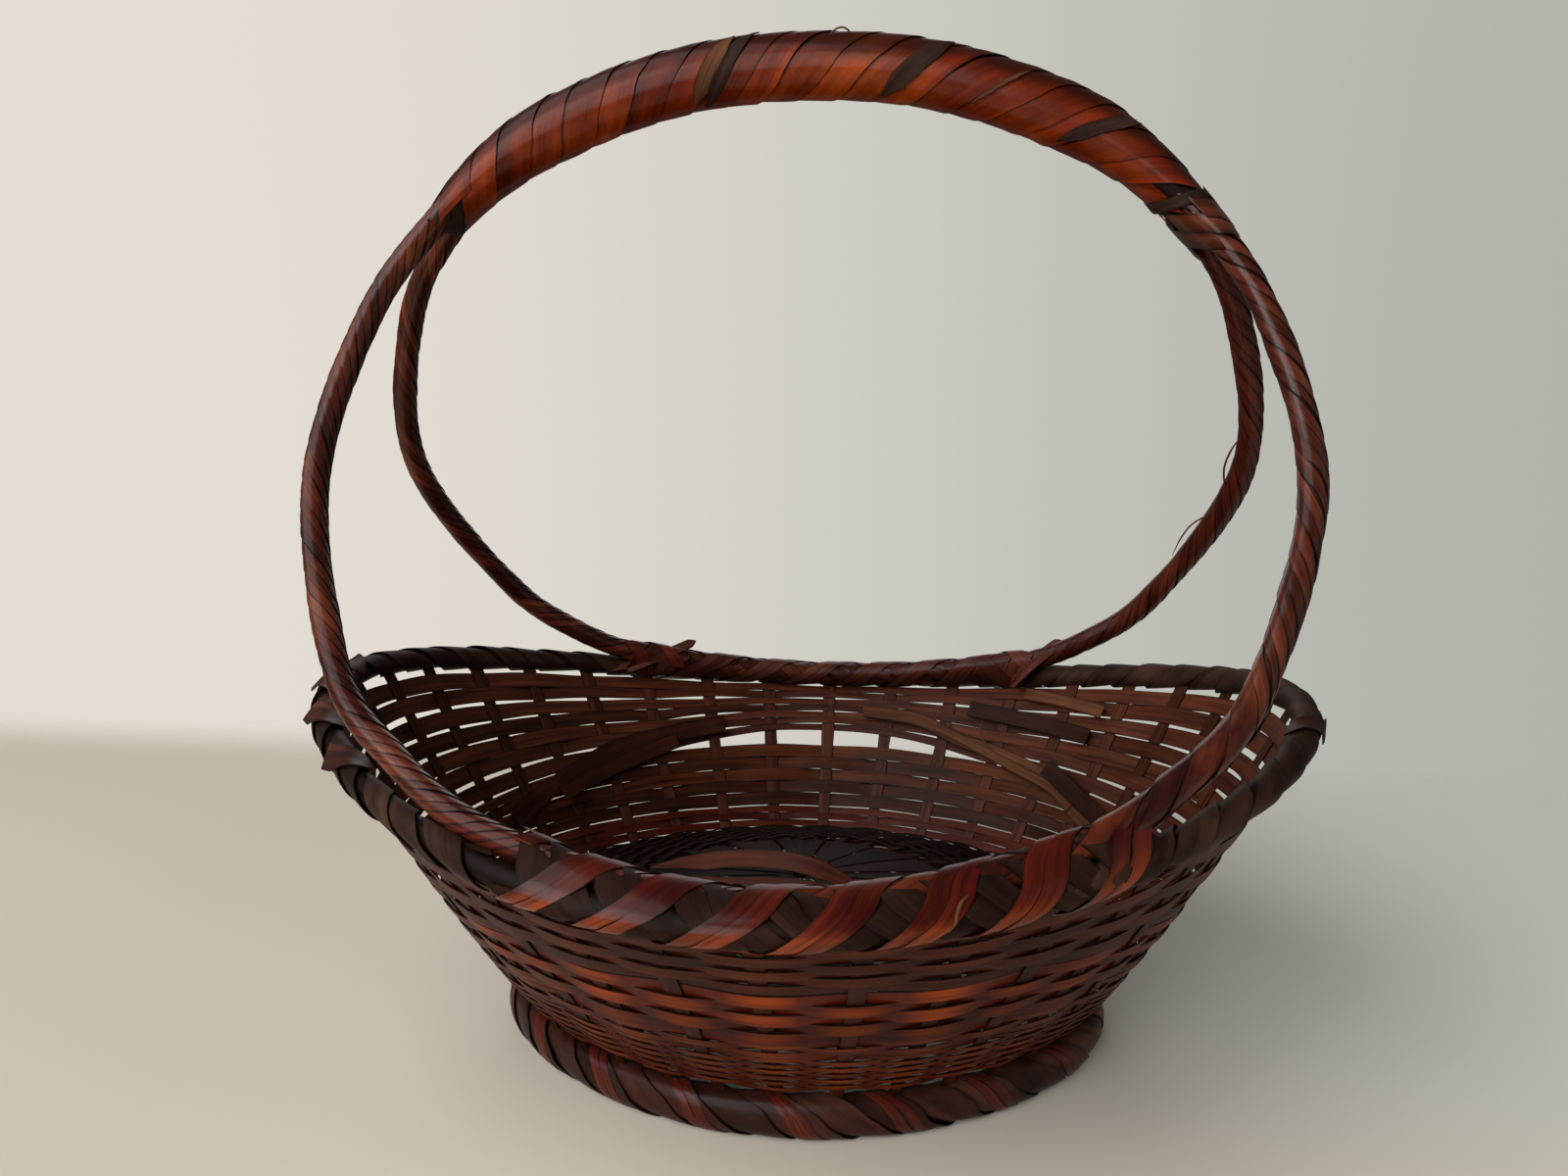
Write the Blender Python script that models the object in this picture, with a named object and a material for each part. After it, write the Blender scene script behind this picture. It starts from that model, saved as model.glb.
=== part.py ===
# Ikebana basket: an oval woven body on a hooped foot, with a round overhead handle made of two hoops.
# Lengths are in metres. X runs along the basket, Y from front to back, and Z up from the table.
import math

import bmesh
import bpy
from mathutils import Vector

millimetre = 0.001

# Fits
piece_gap = 0.0003
seat_gap = 0.0005

# Body: the middle of the wall, from the foot to the rim
rim_half_length = 0.183
rim_half_depth = 0.144
rim_side_height = 0.103
rim_end_rise = 0.031
base_half_length = 0.113
base_half_depth = 0.083
foot_height = 0.0155
plan_pinch_share = 0.13
end_flare_share = 0.85
side_flare_share = 1.0
wall_level_shares = (0.0, 0.12, 0.3, 0.55, 0.78, 1.0)

# Stakes and the star of base strips that carries them
stake_count = 36
stakes_per_strip = 2
stake_thickness = 0.0008
stake_foot_width = 0.0042
stake_rim_width = 0.0054
stake_top_share = 1.03
stake_foot_inset = 0.003
floor_rise = 0.018
floor_side_level_share = 0.264
floor_end_level_share = 0.194
star_tip_share = 0.055
star_bend_share = 0.26
star_split_share = 0.45
star_slit = 0.0008
arm_split_width = 0.0032
arm_edge_width = 0.0038
arm_steps = 3

# Weave rows
weft_thickness = 0.0006
skirt_row_count = 5
edge_row_count = 2
lower_row_count = 5
upper_row_count = 7
skirt_bottom_share = 0.03
floor_room_below_share = 0.01
floor_room_above_share = 0.022
edge_top_side_share = 0.36
edge_top_end_share = 0.285
lower_top_side_share = 0.655
lower_top_end_share = 0.455
window_share = 0.068
window_reach_share = 0.22
upper_top_share = 0.936
row_fill_share = 0.88

# Floor weavers
floor_weaver_turns = 3
floor_weaver_start_share = 0.5
floor_weaver_end_share = 0.93
floor_weaver_fill_share = 0.72

# Rim and foot hoops
rim_hoop_thickness = 0.0036
rim_hoop_height = 0.0088
foot_hoop_thickness = 0.0052
shoulder_share = 0.82

# The two handle hoops
hoop_radius = 0.0049
hoop_half_width = 0.170
hoop_centre_height = 0.216
hoop_sides = 8
hoop_stations = 76
arch_turns_degrees = (0.0, 20.0, 40.0, 55.0, 70.0, 90.0)
arch_radius_shares = (0.85, 0.872, 0.925, 0.963, 0.992, 1.0)
arch_spread_shares = (0.031, 0.031, 0.031, 0.044, 0.108, 0.253)
leg_drop_shares = (0.61, 0.865)
leg_width_shares = (0.854, 0.696)
leg_spread_shares = (0.494, 0.592)
seat_angles_degrees = (58.0, 68.0, 79.0, 90.0)
seat_turn_end_degrees = 21.0
seat_turn_side_degrees = -13.0

# Packing rods and the wound strips of the handle
rod_radius = 0.0036
rod_reach_degrees = 46.0
rod_sides = 6
rod_stations = 22
rod_end_share = 0.55
wrap_strips = 4
wrap_turns = 4
wrap_points = 14
wrap_reach_degrees = 54.0
wrap_thickness = 0.0008
wrap_fill_share = 0.93

# Lashings of the hoops to the rim
lashing_points = 12
lashing_start_degrees = 60.0
lashing_half_width = 0.0048
lashing_thickness = 0.0008
lashing_gap = 0.0009
joint_degrees = 57.0
joint_half_width = 0.0045
joint_points = 16

# Loose strips on the floor
loose_strip_width = 0.006
loose_strip_steps = 8
loose_strip_rows_share = ((-0.46, -0.02, 0.24, -0.22), (-0.30, -0.24, 0.40, -0.10))

# Faces that meet at less than this are shaded smooth
sharp_degrees = 50.0

# Finishes: colour, roughness
finishes = {
    "lacquered_red": ((0.150, 0.028, 0.012, 1.0), 0.32),
    "lacquered_orange": ((0.310, 0.068, 0.018, 1.0), 0.28),
    "stained_wall": ((0.085, 0.028, 0.020, 1.0), 0.45),
    "stained_dark": ((0.040, 0.020, 0.017, 1.0), 0.50),
    "matt_grey_brown": ((0.070, 0.045, 0.036, 1.0), 0.60),
}


def clear_scene():
    for old in list(bpy.data.objects):
        bpy.data.objects.remove(old, do_unlink=True)


def finish_material(finish):
    material = bpy.data.materials.get(finish)
    if material is None:
        material = bpy.data.materials.new(finish)
        material.use_nodes = True
    colour, roughness = finishes[finish]
    shader = material.node_tree.nodes["Principled BSDF"]
    shader.inputs["Base Color"].default_value = colour
    shader.inputs["Roughness"].default_value = roughness
    return material


def add_object(name, bm, finish, smooth):
    bmesh.ops.recalc_face_normals(bm, faces=bm.faces)
    mesh = bpy.data.meshes.new(name)
    bm.to_mesh(mesh)
    bm.free()
    if smooth:
        mesh.shade_smooth()
        mesh.set_sharp_from_angle(angle=math.radians(sharp_degrees))
    mesh.materials.append(finish_material(finish))
    obj = bpy.data.objects.new(name, mesh)
    bpy.context.scene.collection.objects.link(obj)
    return obj


# A sweep joins a row of cross-sections; an open one has its two ends filled.
def sweep(sections, closed):
    bm = bmesh.new()
    rows = [[bm.verts.new(point) for point in section] for section in sections]
    following = rows[1:] + rows[:1] if closed else rows[1:]
    for near, far in zip(rows, following):
        count = len(near)
        for k in range(count):
            n = (k + 1) % count
            bm.faces.new((near[k], near[n], far[n], far[k]))
    if not closed:
        bm.faces.new(rows[0])
        bm.faces.new(list(reversed(rows[-1])))
    return bm


def add_sweep(name, sections, closed, finish, smooth=False):
    return add_object(name, sweep(sections, closed), finish, smooth)


# Least distance between the corners of a wound strip and those at least half a turn further on
def print_least_gap(name, sections, points):
    least = min(
        (near - far).length
        for k, section in enumerate(sections)
        for later in sections[k + points // 2:]
        for near in section
        for far in later
    )
    print("%s: least gap to itself %.2f mm" % (name, least / millimetre))


def mix(low, high, share):
    return low + (high - low) * share


# Wall surface

def rim_height(angle):
    return rim_side_height + rim_end_rise * math.cos(angle) ** 2


def wall_knot(angle, level):
    length = mix(base_half_length, rim_half_length, level ** end_flare_share)
    depth = mix(base_half_depth, rim_half_depth, level ** side_flare_share)
    across = math.cos(angle)
    pinch = 1.0 - plan_pinch_share * across * across
    height = mix(foot_height, rim_height(angle), level)
    return Vector((length * across, depth * math.sin(angle) * pinch, height))


# The wall runs straight between its knots, so that a stake's straight runs lie in it.
def wall_curve(angle, level):
    k = 0
    while k < len(wall_level_shares) - 2 and level > wall_level_shares[k + 1]:
        k += 1
    low = wall_level_shares[k]
    high = wall_level_shares[k + 1]
    share = (level - low) / (high - low)
    return wall_knot(angle, low).lerp(wall_knot(angle, high), share)


# Hoops have a flat at each stake, and the stake lies on the middle of that flat.
def wall_point(angle, level):
    half_step = math.pi / stake_count
    return (wall_curve(angle - half_step, level) + wall_curve(angle + half_step, level)) / 2.0


def ring_direction(angle, level):
    step = math.radians(1.0)
    return (wall_point(angle + step, level) - wall_point(angle - step, level)).normalized()


def rise_direction(angle, level):
    step = wall_level_shares[1] / 4.0
    low = max(level - step, 0.0)
    return (wall_point(angle, low + step) - wall_point(angle, low)).normalized()


def wall_normal(angle, level):
    return ring_direction(angle, level).cross(rise_direction(angle, level)).normalized()


# Square directions at the rim: along it, out of the wall, and up the wall
def rim_frame(angle):
    along = ring_direction(angle, 1.0)
    out = wall_normal(angle, 1.0)
    return along, out, out.cross(along)


def stake_angle(j):
    return math.radians(90.0) + math.tau * j / stake_count


def stake_width(level):
    return mix(stake_foot_width, stake_rim_width, min(max(level, 0.0), 1.0))


# Floor: a shallow dome whose edge sits on the inside of the wall

def floor_level(angle):
    return mix(floor_side_level_share, floor_end_level_share, math.cos(angle) ** 2)


def floor_point(angle, reach):
    edge = wall_point(angle, floor_level(angle))
    lift = floor_rise * (1.0 - reach * reach)
    return Vector((edge.x * reach, edge.y * reach, edge.z + lift))


def floor_normal(angle, reach):
    turn = math.radians(1.0)
    step = star_tip_share / 2.0
    along = floor_point(angle + turn, reach) - floor_point(angle - turn, reach)
    out = floor_point(angle, reach + step) - floor_point(angle, reach - step)
    return out.cross(along).normalized()


# Room that a weaver needs to pass a strip: the weaver runs straight from one strip to the next,
# so it stands off further where the strips are wide for their spacing or where the ring turns.
def weave_lift(strip_width, strip_spacing, strip_turn):
    room = (stake_thickness + weft_thickness) / 2.0 + piece_gap
    room += strip_width / 2.0 * math.sin(strip_turn / 2.0)
    return room / (1.0 - strip_width / strip_spacing)


def wall_weave_lift(angle, level):
    step = math.tau / stake_count
    here = wall_point(angle, level)
    spacing = min((wall_point(angle + turn, level) - here).length for turn in (-step, step))
    turn = ring_direction(angle, level).angle(ring_direction(angle + step, level))
    back_turn = ring_direction(angle, level).angle(ring_direction(angle - step, level))
    return weave_lift(stake_width(level), spacing, max(turn, back_turn))


def floor_weave_lift(angle, reach):
    step = math.tau / stake_count
    here = floor_point(angle, reach)
    spacing = min((floor_point(angle + turn, reach) - here).length for turn in (-step, step))
    return weave_lift(arm_width(reach), spacing, step)


# Spokes: a base strip that splits in two arms, each joined to a stake

def arm_width(reach):
    share = (reach - star_split_share) / (1.0 - star_split_share)
    return mix(arm_split_width, arm_edge_width, min(max(share, 0.0), 1.0))


def strip_corners(centre, across, normal, width, thickness):
    half_width = across * (width / 2.0)
    half_depth = normal * (thickness / 2.0)
    return (
        centre - half_width - half_depth,
        centre + half_width - half_depth,
        centre + half_width + half_depth,
        centre - half_width + half_depth,
    )


def stake_sections(angle):
    out = wall_normal(angle, 0.0)
    flat_out = Vector((out.x, out.y, 0.0)).normalized()
    across = ring_direction(angle, 0.0)
    foot = wall_point(angle, 0.0)
    foot.z = stake_foot_inset
    sections = [strip_corners(foot, across, flat_out, stake_foot_width, stake_thickness)]
    bend = (flat_out + out).normalized()
    knots = [(0.0, bend)]
    for level in wall_level_shares[1:-1]:
        knots.append((level, wall_normal(angle, level)))
    knots.append((stake_top_share, wall_normal(angle, 1.0)))
    for level, normal in knots:
        centre = wall_point(angle, level)
        across = ring_direction(angle, level)
        sections.append(strip_corners(centre, across, normal, stake_width(level), stake_thickness))
    return sections


# Columns of the base strip: the outer edges of its two arms and the inner ones, from one side to the other.
def strip_columns(first, last, reach):
    left = floor_point(first, reach)
    right = floor_point(last, reach)
    step = math.tau / stake_count
    outer_left = floor_point(first - step / 2.0, reach)
    outer_right = floor_point(last + step / 2.0, reach)
    across = (right - left).normalized()
    half = arm_width(reach) / 2.0
    if reach < star_split_share:
        share = reach / star_split_share
        half = half * share
        slit = across * (star_slit / 2.0)
        return (outer_left + slit, left + across * half, right - across * half, outer_right - slit)
    return (left - across * half, left + across * half, right - across * half, right + across * half)


def base_strip(first, last):
    middle = (first + last) / 2.0
    reaches = [star_tip_share, star_bend_share, star_split_share]
    for k in range(1, arm_steps + 1):
        reaches.append(mix(star_split_share, 1.0, k / arm_steps))
    bm = bmesh.new()
    tops = []
    bottoms = []
    for reach in reaches:
        lift = floor_normal(middle, reach) * (stake_thickness / 2.0)
        columns = strip_columns(first, last, reach)
        tops.append([bm.verts.new(point + lift) for point in columns])
        bottoms.append([bm.verts.new(point - lift) for point in columns])
    split = reaches.index(star_split_share)
    for s in range(len(reaches) - 1):
        spans = (0, 1, 2) if s < split else (0, 2)
        for k in spans:
            bm.faces.new((tops[s][k], tops[s][k + 1], tops[s + 1][k + 1], tops[s + 1][k]))
            bm.faces.new((bottoms[s][k], bottoms[s + 1][k], bottoms[s + 1][k + 1], bottoms[s][k + 1]))
        sides = (0, 3) if s < split else (0, 1, 2, 3)
        for k in sides:
            bm.faces.new((tops[s][k], tops[s + 1][k], bottoms[s + 1][k], bottoms[s][k]))
    for k in (0, 1, 2):
        bm.faces.new((tops[0][k], bottoms[0][k], bottoms[0][k + 1], tops[0][k + 1]))
    bm.faces.new((tops[split][1], tops[split][2], bottoms[split][2], bottoms[split][1]))
    for k in (0, 2):
        bm.faces.new((tops[-1][k], tops[-1][k + 1], bottoms[-1][k + 1], bottoms[-1][k]))
    return bm


def join_solids(obj, others):
    for other in others:
        union = obj.modifiers.new("join", "BOOLEAN")
        union.operation = "UNION"
        union.object = other
    bpy.context.view_layer.update()
    graph = bpy.context.evaluated_depsgraph_get()
    joined = bpy.data.meshes.new_from_object(obj.evaluated_get(graph))
    obj.modifiers.clear()
    obj.data = joined
    for other in others:
        bpy.data.objects.remove(other, do_unlink=True)


def build_spokes():
    strips = stake_count // stakes_per_strip
    for k in range(strips):
        first = stake_angle(stakes_per_strip * k)
        last = stake_angle(stakes_per_strip * k + 1)
        spoke = add_object("spoke_%02d" % (k + 1), base_strip(first, last), "stained_dark", False)
        stakes = []
        for angle in (first, last):
            stakes.append(add_sweep("stake", stake_sections(angle), False, "stained_dark"))
        join_solids(spoke, stakes)


# Rows of the wall

# Lowest and highest level of each band of rows at one angle. The skirt ends under the floor strips
# and the edge rows start above them. The window opens only near the front and back.
def band_levels(angle, band):
    end = math.cos(angle) ** 2
    floor = floor_level(angle)
    edge_top = mix(edge_top_side_share, edge_top_end_share, end)
    lower_top = mix(lower_top_side_share, lower_top_end_share, end)
    window = window_share * max(0.0, 1.0 - end / window_reach_share)
    if band == "skirt":
        return skirt_bottom_share, floor - floor_room_below_share
    if band == "edge":
        return floor + floor_room_above_share, edge_top
    if band == "lower":
        return edge_top, lower_top
    return lower_top + window, upper_top_share


def row_levels(angle, band, row, rows):
    low, high = band_levels(angle, band)
    step = (high - low) / rows
    middle = low + step * (row + 0.5)
    half = step * row_fill_share / 2.0
    return middle - half, middle, middle + half


def weft_sections(band, row, rows, phase):
    sections = []
    for j in range(stake_count):
        angle = stake_angle(j)
        low, middle, high = row_levels(angle, band, row, rows)
        normal = wall_normal(angle, middle)
        side = 1.0 if (j + phase) % 2 == 0 else -1.0
        lift = side * wall_weave_lift(angle, middle)
        inner = normal * (lift - weft_thickness / 2.0)
        outer = normal * (lift + weft_thickness / 2.0)
        bottom = wall_point(angle, low)
        top = wall_point(angle, high)
        sections.append((bottom + inner, bottom + outer, top + outer, top + inner))
    return sections


def build_wefts():
    phase = 0
    bands = (("skirt", skirt_row_count, "stained_wall"), ("edge", edge_row_count, "stained_wall"),
             ("lower", lower_row_count, "lacquered_red"), ("upper", upper_row_count, "stained_wall"))
    for band, rows, finish in bands:
        for row in range(rows):
            sections = weft_sections(band, row, rows, phase)
            add_sweep("%s_weft_%d" % (band, row + 1), sections, True, finish)
            phase += 1


# Two floor weavers chase each other outwards, each over the arms that the other goes under.
def build_floor_weavers():
    turns = floor_weaver_turns
    pitch = (floor_weaver_end_share - floor_weaver_start_share) / (turns + 0.5)
    half = pitch / 2.0 * floor_weaver_fill_share / 2.0
    for weaver in (0, 1):
        sections = []
        for j in range(turns * stake_count + 1):
            angle = stake_angle(j)
            reach = floor_weaver_start_share + half + pitch * (weaver / 2.0 + j / stake_count)
            normal = floor_normal(angle, reach)
            side = 1.0 if (j + weaver) % 2 == 0 else -1.0
            lift = side * floor_weave_lift(angle, reach)
            under = normal * (lift - weft_thickness / 2.0)
            over = normal * (lift + weft_thickness / 2.0)
            near = floor_point(angle, reach - half)
            far = floor_point(angle, reach + half)
            sections.append((near + under, near + over, far + over, far + under))
        add_sweep("floor_weaver_%d" % (weaver + 1), sections, False, "stained_dark")


# Rim and foot hoops hold the stakes between them

def half_round(side, thickness, height):
    near = side * (stake_thickness / 2.0 + piece_gap)
    far = side * (stake_thickness / 2.0 + piece_gap + thickness)
    shoulder = mix(near, far, shoulder_share)
    return (
        (near, -height / 2.0),
        (shoulder, -height * shoulder_share / 2.0),
        (far, 0.0),
        (shoulder, height * shoulder_share / 2.0),
        (near, height / 2.0),
    )


def build_rim():
    for name, side in (("rim_hoop_outer", 1.0), ("rim_hoop_inner", -1.0)):
        sections = []
        for j in range(stake_count):
            angle = stake_angle(j + 0.5)
            centre = wall_curve(angle, 1.0)
            along, out, up = rim_frame(angle)
            profile = half_round(side, rim_hoop_thickness, rim_hoop_height)
            sections.append([centre + out * a + up * b for a, b in profile])
        add_sweep(name, sections, True, "matt_grey_brown", smooth=True)


def foot_profile(side):
    near = side * (stake_thickness / 2.0 + piece_gap)
    far = side * (stake_thickness / 2.0 + piece_gap + foot_hoop_thickness)
    top = foot_height - seat_gap * 2.0
    shoulder = mix(near, far, shoulder_share)
    return (
        (near, 0.0),
        (shoulder, 0.0),
        (far, top * (1.0 - shoulder_share)),
        (far, top * shoulder_share),
        (shoulder, top),
        (near, top),
    )


def build_foot():
    for name, side in (("foot_hoop_outer", 1.0), ("foot_hoop_inner", -1.0)):
        sections = []
        for j in range(stake_count):
            angle = stake_angle(j + 0.5)
            centre = wall_curve(angle, 0.0)
            normal = wall_normal(angle, 0.0)
            out = Vector((normal.x, normal.y, 0.0)).normalized()
            sections.append([Vector((centre.x + out.x * a, centre.y + out.y * a, b))
                             for a, b in foot_profile(side)])
        add_sweep(name, sections, True, "matt_grey_brown", smooth=True)


# Handle hoops

def seat_point(angle):
    share = math.cos(angle) ** 2 / math.cos(math.radians(seat_angles_degrees[0])) ** 2
    turn = math.radians(mix(seat_turn_side_degrees, seat_turn_end_degrees, share))
    stand = rim_hoop_thickness + stake_thickness / 2.0 + piece_gap + hoop_radius + seat_gap
    along, out, up = rim_frame(angle)
    return wall_point(angle, 1.0) - out * (stand * math.cos(turn)) + up * (stand * math.sin(turn))


# The arch is set out round the hoop's centre, and the legs by how far they have dropped to the rim.
def hoop_knots():
    knots = []
    least_spread = hoop_radius + piece_gap / 2.0
    arch = zip(arch_turns_degrees, arch_radius_shares, arch_spread_shares)
    for degrees, radius_share, spread_share in arch:
        turn = math.radians(degrees)
        radius = hoop_half_width * radius_share
        spread = max(hoop_half_width * spread_share, least_spread)
        height = hoop_centre_height + radius * math.cos(turn)
        knots.append(Vector((radius * math.sin(turn), spread, height)))
    seats = [seat_point(math.radians(degrees)) for degrees in seat_angles_degrees]
    for drop_share, width_share, spread_share in zip(leg_drop_shares, leg_width_shares, leg_spread_shares):
        height = mix(hoop_centre_height, seats[0].z, drop_share)
        knots.append(Vector((hoop_half_width * width_share, hoop_half_width * spread_share, height)))
    knots.extend(seats)
    mirrored = [Vector((-knot.x, knot.y, knot.z)) for knot in reversed(knots[1:-1])]
    return knots + mirrored


def spline_point(before, start, end, after, share):
    square = share * share
    cube = square * share
    return (start * 2.0 + (end - before) * share
            + (before * 2.0 - start * 5.0 + end * 4.0 - after) * square
            + (start * 3.0 - before - end * 3.0 + after) * cube) / 2.0


def fine_route():
    knots = hoop_knots()
    count = len(knots)
    least_spread = hoop_radius + piece_gap / 2.0
    steps = 24
    points = []
    for k in range(count):
        around = [knots[(k + n) % count] for n in (-1, 0, 1, 2)]
        for s in range(steps):
            point = spline_point(*around, s / steps)
            point.y = max(point.y, least_spread)
            points.append(point)
    return points


def even_route(points, stations):
    lengths = [0.0]
    for near, far in zip(points, points[1:] + points[:1]):
        lengths.append(lengths[-1] + (far - near).length)
    route = []
    k = 0
    for s in range(stations):
        goal = lengths[-1] * s / stations
        while lengths[k + 1] < goal:
            k += 1
        share = (goal - lengths[k]) / (lengths[k + 1] - lengths[k])
        route.append(points[k].lerp(points[(k + 1) % len(points)], share))
    return route


def round_section(centre, along, outward, radius, sides):
    out = (outward - along * outward.dot(along)).normalized()
    side = along.cross(out)
    section = []
    for k in range(sides):
        angle = math.tau * (k + 0.5) / sides
        section.append(centre + out * (radius * math.cos(angle)) + side * (radius * math.sin(angle)))
    return section


def build_hoops(route):
    middle = Vector((0.0, 0.0, hoop_centre_height))
    count = len(route)
    for name, side in (("rear_hoop", 1.0), ("front_hoop", -1.0)):
        points = [Vector((point.x, point.y * side, point.z)) for point in route]
        sections = []
        for k in range(count):
            along = (points[(k + 1) % count] - points[k - 1]).normalized()
            outward = points[k] - middle
            outward.y = 0.0
            sections.append(round_section(points[k], along, outward, hoop_radius, hoop_sides))
        add_sweep(name, sections, True, "lacquered_red", smooth=True)


# Top of the handle

# Place on the hoops' shared arc at a turn from the top: its middle point, its outward direction,
# and how far each hoop stands to the side there.
def arc_frame(turn, fine):
    best = min(fine, key=lambda p: abs(math.atan2(p.x, p.z - hoop_centre_height) - turn))
    out = Vector((math.sin(turn), 0.0, math.cos(turn)))
    radius = Vector((best.x, 0.0, best.z - hoop_centre_height)).length
    return Vector((0.0, 0.0, hoop_centre_height)) + out * radius, out, best.y


def rod_offset(spread):
    reach = hoop_radius + rod_radius + piece_gap
    return math.sqrt(max(reach * reach - spread * spread, rod_radius * rod_radius))


def build_rods(fine):
    reach = math.radians(rod_reach_degrees)
    for name, side in (("handle_rod_upper", 1.0), ("handle_rod_lower", -1.0)):
        sections = []
        for k in range(rod_stations):
            share = 2.0 * k / (rod_stations - 1) - 1.0
            centre, out, spread = arc_frame(reach * share, fine)
            radius = rod_radius * mix(1.0, rod_end_share, abs(share) ** 6)
            middle = centre + out * (side * rod_offset(spread))
            along = Vector((out.z, 0.0, -out.x))
            sections.append(round_section(middle, along, out, radius, rod_sides))
        add_sweep(name, sections, False, "stained_dark", smooth=True)


def wrap_point(turn, around, lift, fine):
    centre, out, spread = arc_frame(turn, fine)
    room = (piece_gap + lift) + (hoop_radius * 2.0) * (1.0 / math.cos(math.pi / wrap_points) - 1.0)
    height = rod_offset(spread) + rod_radius + room
    width = spread + hoop_radius + room
    return centre + out * (height * math.sin(around)) + Vector((0.0, width * math.cos(around), 0.0))


def build_handle_wraps(fine):
    reach = math.radians(wrap_reach_degrees)
    pitch = 2.0 * reach / (wrap_turns + 1.0)
    half = pitch / wrap_strips * wrap_fill_share / 2.0
    for strip in range(wrap_strips):
        sections = []
        start = -reach + pitch * (strip + 0.5) / wrap_strips
        for k in range(wrap_turns * wrap_points + 1):
            around = math.tau * k / wrap_points
            turn = start + pitch * k / wrap_points
            sections.append((
                wrap_point(turn - half, around, 0.0, fine),
                wrap_point(turn + half, around, 0.0, fine),
                wrap_point(turn + half, around, wrap_thickness, fine),
                wrap_point(turn - half, around, wrap_thickness, fine),
            ))
        name = "handle_wrap_%d" % (strip + 1)
        print_least_gap(name, sections, wrap_points)
        add_sweep(name, sections, False, "lacquered_orange")


# Lashings round the rim and the hoop that lies along it

# Place and half width of the handle hoop in the cross-section of the rim at one angle
def hoop_place(angle, fine):
    centre = wall_point(angle, 1.0)
    along, out, up = rim_frame(angle)
    end = math.cos(angle)
    near = [k for k, p in enumerate(fine) if p.z < hoop_centre_height and p.x * end >= -hoop_radius]
    best = min(near, key=lambda k: abs((fine[k] - centre).dot(along)))
    course = (fine[(best + 1) % len(fine)] - fine[best - 1]).normalized()
    offset = fine[best] - centre
    return offset.dot(out), offset.dot(up), hoop_radius / abs(course.dot(along))


# Outline of the rim and the hoop together, at one rim angle, as a belt round the rim's corners and a circle
def belt_point(angle, around, lift, points, fine):
    centre = wall_point(angle, 1.0)
    along, out, rise = rim_frame(angle)
    bulge = (wall_curve(angle, 1.0) - centre).dot(out)
    circles = [hoop_place(angle, fine)]
    for side in (1.0, -1.0):
        profile = half_round(side, rim_hoop_thickness, rim_hoop_height)
        circles.extend((a + bulge * max(side, 0.0), b, 0.0) for a, b in profile)
    slack = 1.0 / math.cos(math.pi / points)
    right = math.cos(around)
    up = math.sin(around)
    best = max(circles, key=lambda c: c[0] * right + c[1] * up + c[2])
    reach = (best[2] + lashing_gap) * slack + lift
    return centre + out * (best[0] + right * reach) + rise * (best[1] + up * reach)


def place_side(point, side):
    return Vector((point.x, point.y * side, point.z))


def belt_section(angle, half, around, points, fine, side):
    corners = ((-half, 0.0), (half, 0.0), (half, lashing_thickness), (-half, lashing_thickness))
    return [place_side(belt_point(angle + turn, around, lift, points, fine), side) for turn, lift in corners]


# One loop passes under the rim in each space between two stakes.
def build_lashings(fine):
    start = math.radians(lashing_start_degrees)
    step = math.tau / stake_count
    loops = round((math.pi - 2.0 * start) / step)
    half = lashing_half_width / rim_half_length
    lashings = (("front_lashing", -1.0, "lacquered_orange"), ("rear_lashing", 1.0, "stained_wall"))
    for name, side, finish in lashings:
        sections = []
        for k in range(loops * lashing_points + 1):
            around = math.pi / 2.0 + math.tau * k / lashing_points
            angle = start + step * k / lashing_points
            sections.append(belt_section(angle, half, around, lashing_points, fine, side))
        print_least_gap(name, sections, lashing_points)
        add_sweep(name, sections, False, finish)


def build_joint_lashings(fine):
    half = joint_half_width / rim_half_length
    places = (("right", math.radians(joint_degrees)), ("left", math.pi - math.radians(joint_degrees)))
    for end, angle in places:
        for face, side in (("front", -1.0), ("rear", 1.0)):
            sections = []
            for k in range(joint_points):
                around = math.tau * k / joint_points
                sections.append(belt_section(angle, half, around, joint_points, fine, side))
            add_sweep("%s_%s_joint_lashing" % (face, end), sections, True, "stained_wall")


# Long pointed strips that lie loose across the star, the second on the first
def build_loose_strips():
    for row, (x_from, y_from, x_to, y_to) in enumerate(loose_strip_rows_share):
        sections = []
        for k in range(loose_strip_steps + 1):
            share = k / loose_strip_steps
            x = mix(x_from, x_to, share)
            y = mix(y_from, y_to, share)
            angle = math.atan2(y, x)
            reach = math.hypot(x, y)
            normal = floor_normal(angle, reach)
            stand = (stake_thickness + weft_thickness) / 2.0 + piece_gap + row * (weft_thickness + seat_gap)
            point = floor_point(angle, reach) + normal * stand
            width = loose_strip_width * max(math.sin(math.pi * share), star_tip_share)
            across = Vector((0.0, 1.0, 0.0))
            sections.append(strip_corners(point, across, normal, width, weft_thickness))
        add_sweep("loose_floor_strip_%d" % (row + 1), sections, False, "lacquered_red")


def build_basket():
    clear_scene()
    fine = fine_route()
    build_spokes()
    build_wefts()
    build_floor_weavers()
    build_rim()
    build_foot()
    build_hoops(even_route(fine, hoop_stations))
    build_rods(fine)
    build_handle_wraps(fine)
    build_lashings(fine)
    build_joint_lashings(fine)
    build_loose_strips()


build_basket()
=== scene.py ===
# Ikebana basket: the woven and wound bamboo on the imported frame
import math
import random

import bmesh
import bpy
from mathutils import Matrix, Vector, noise


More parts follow.
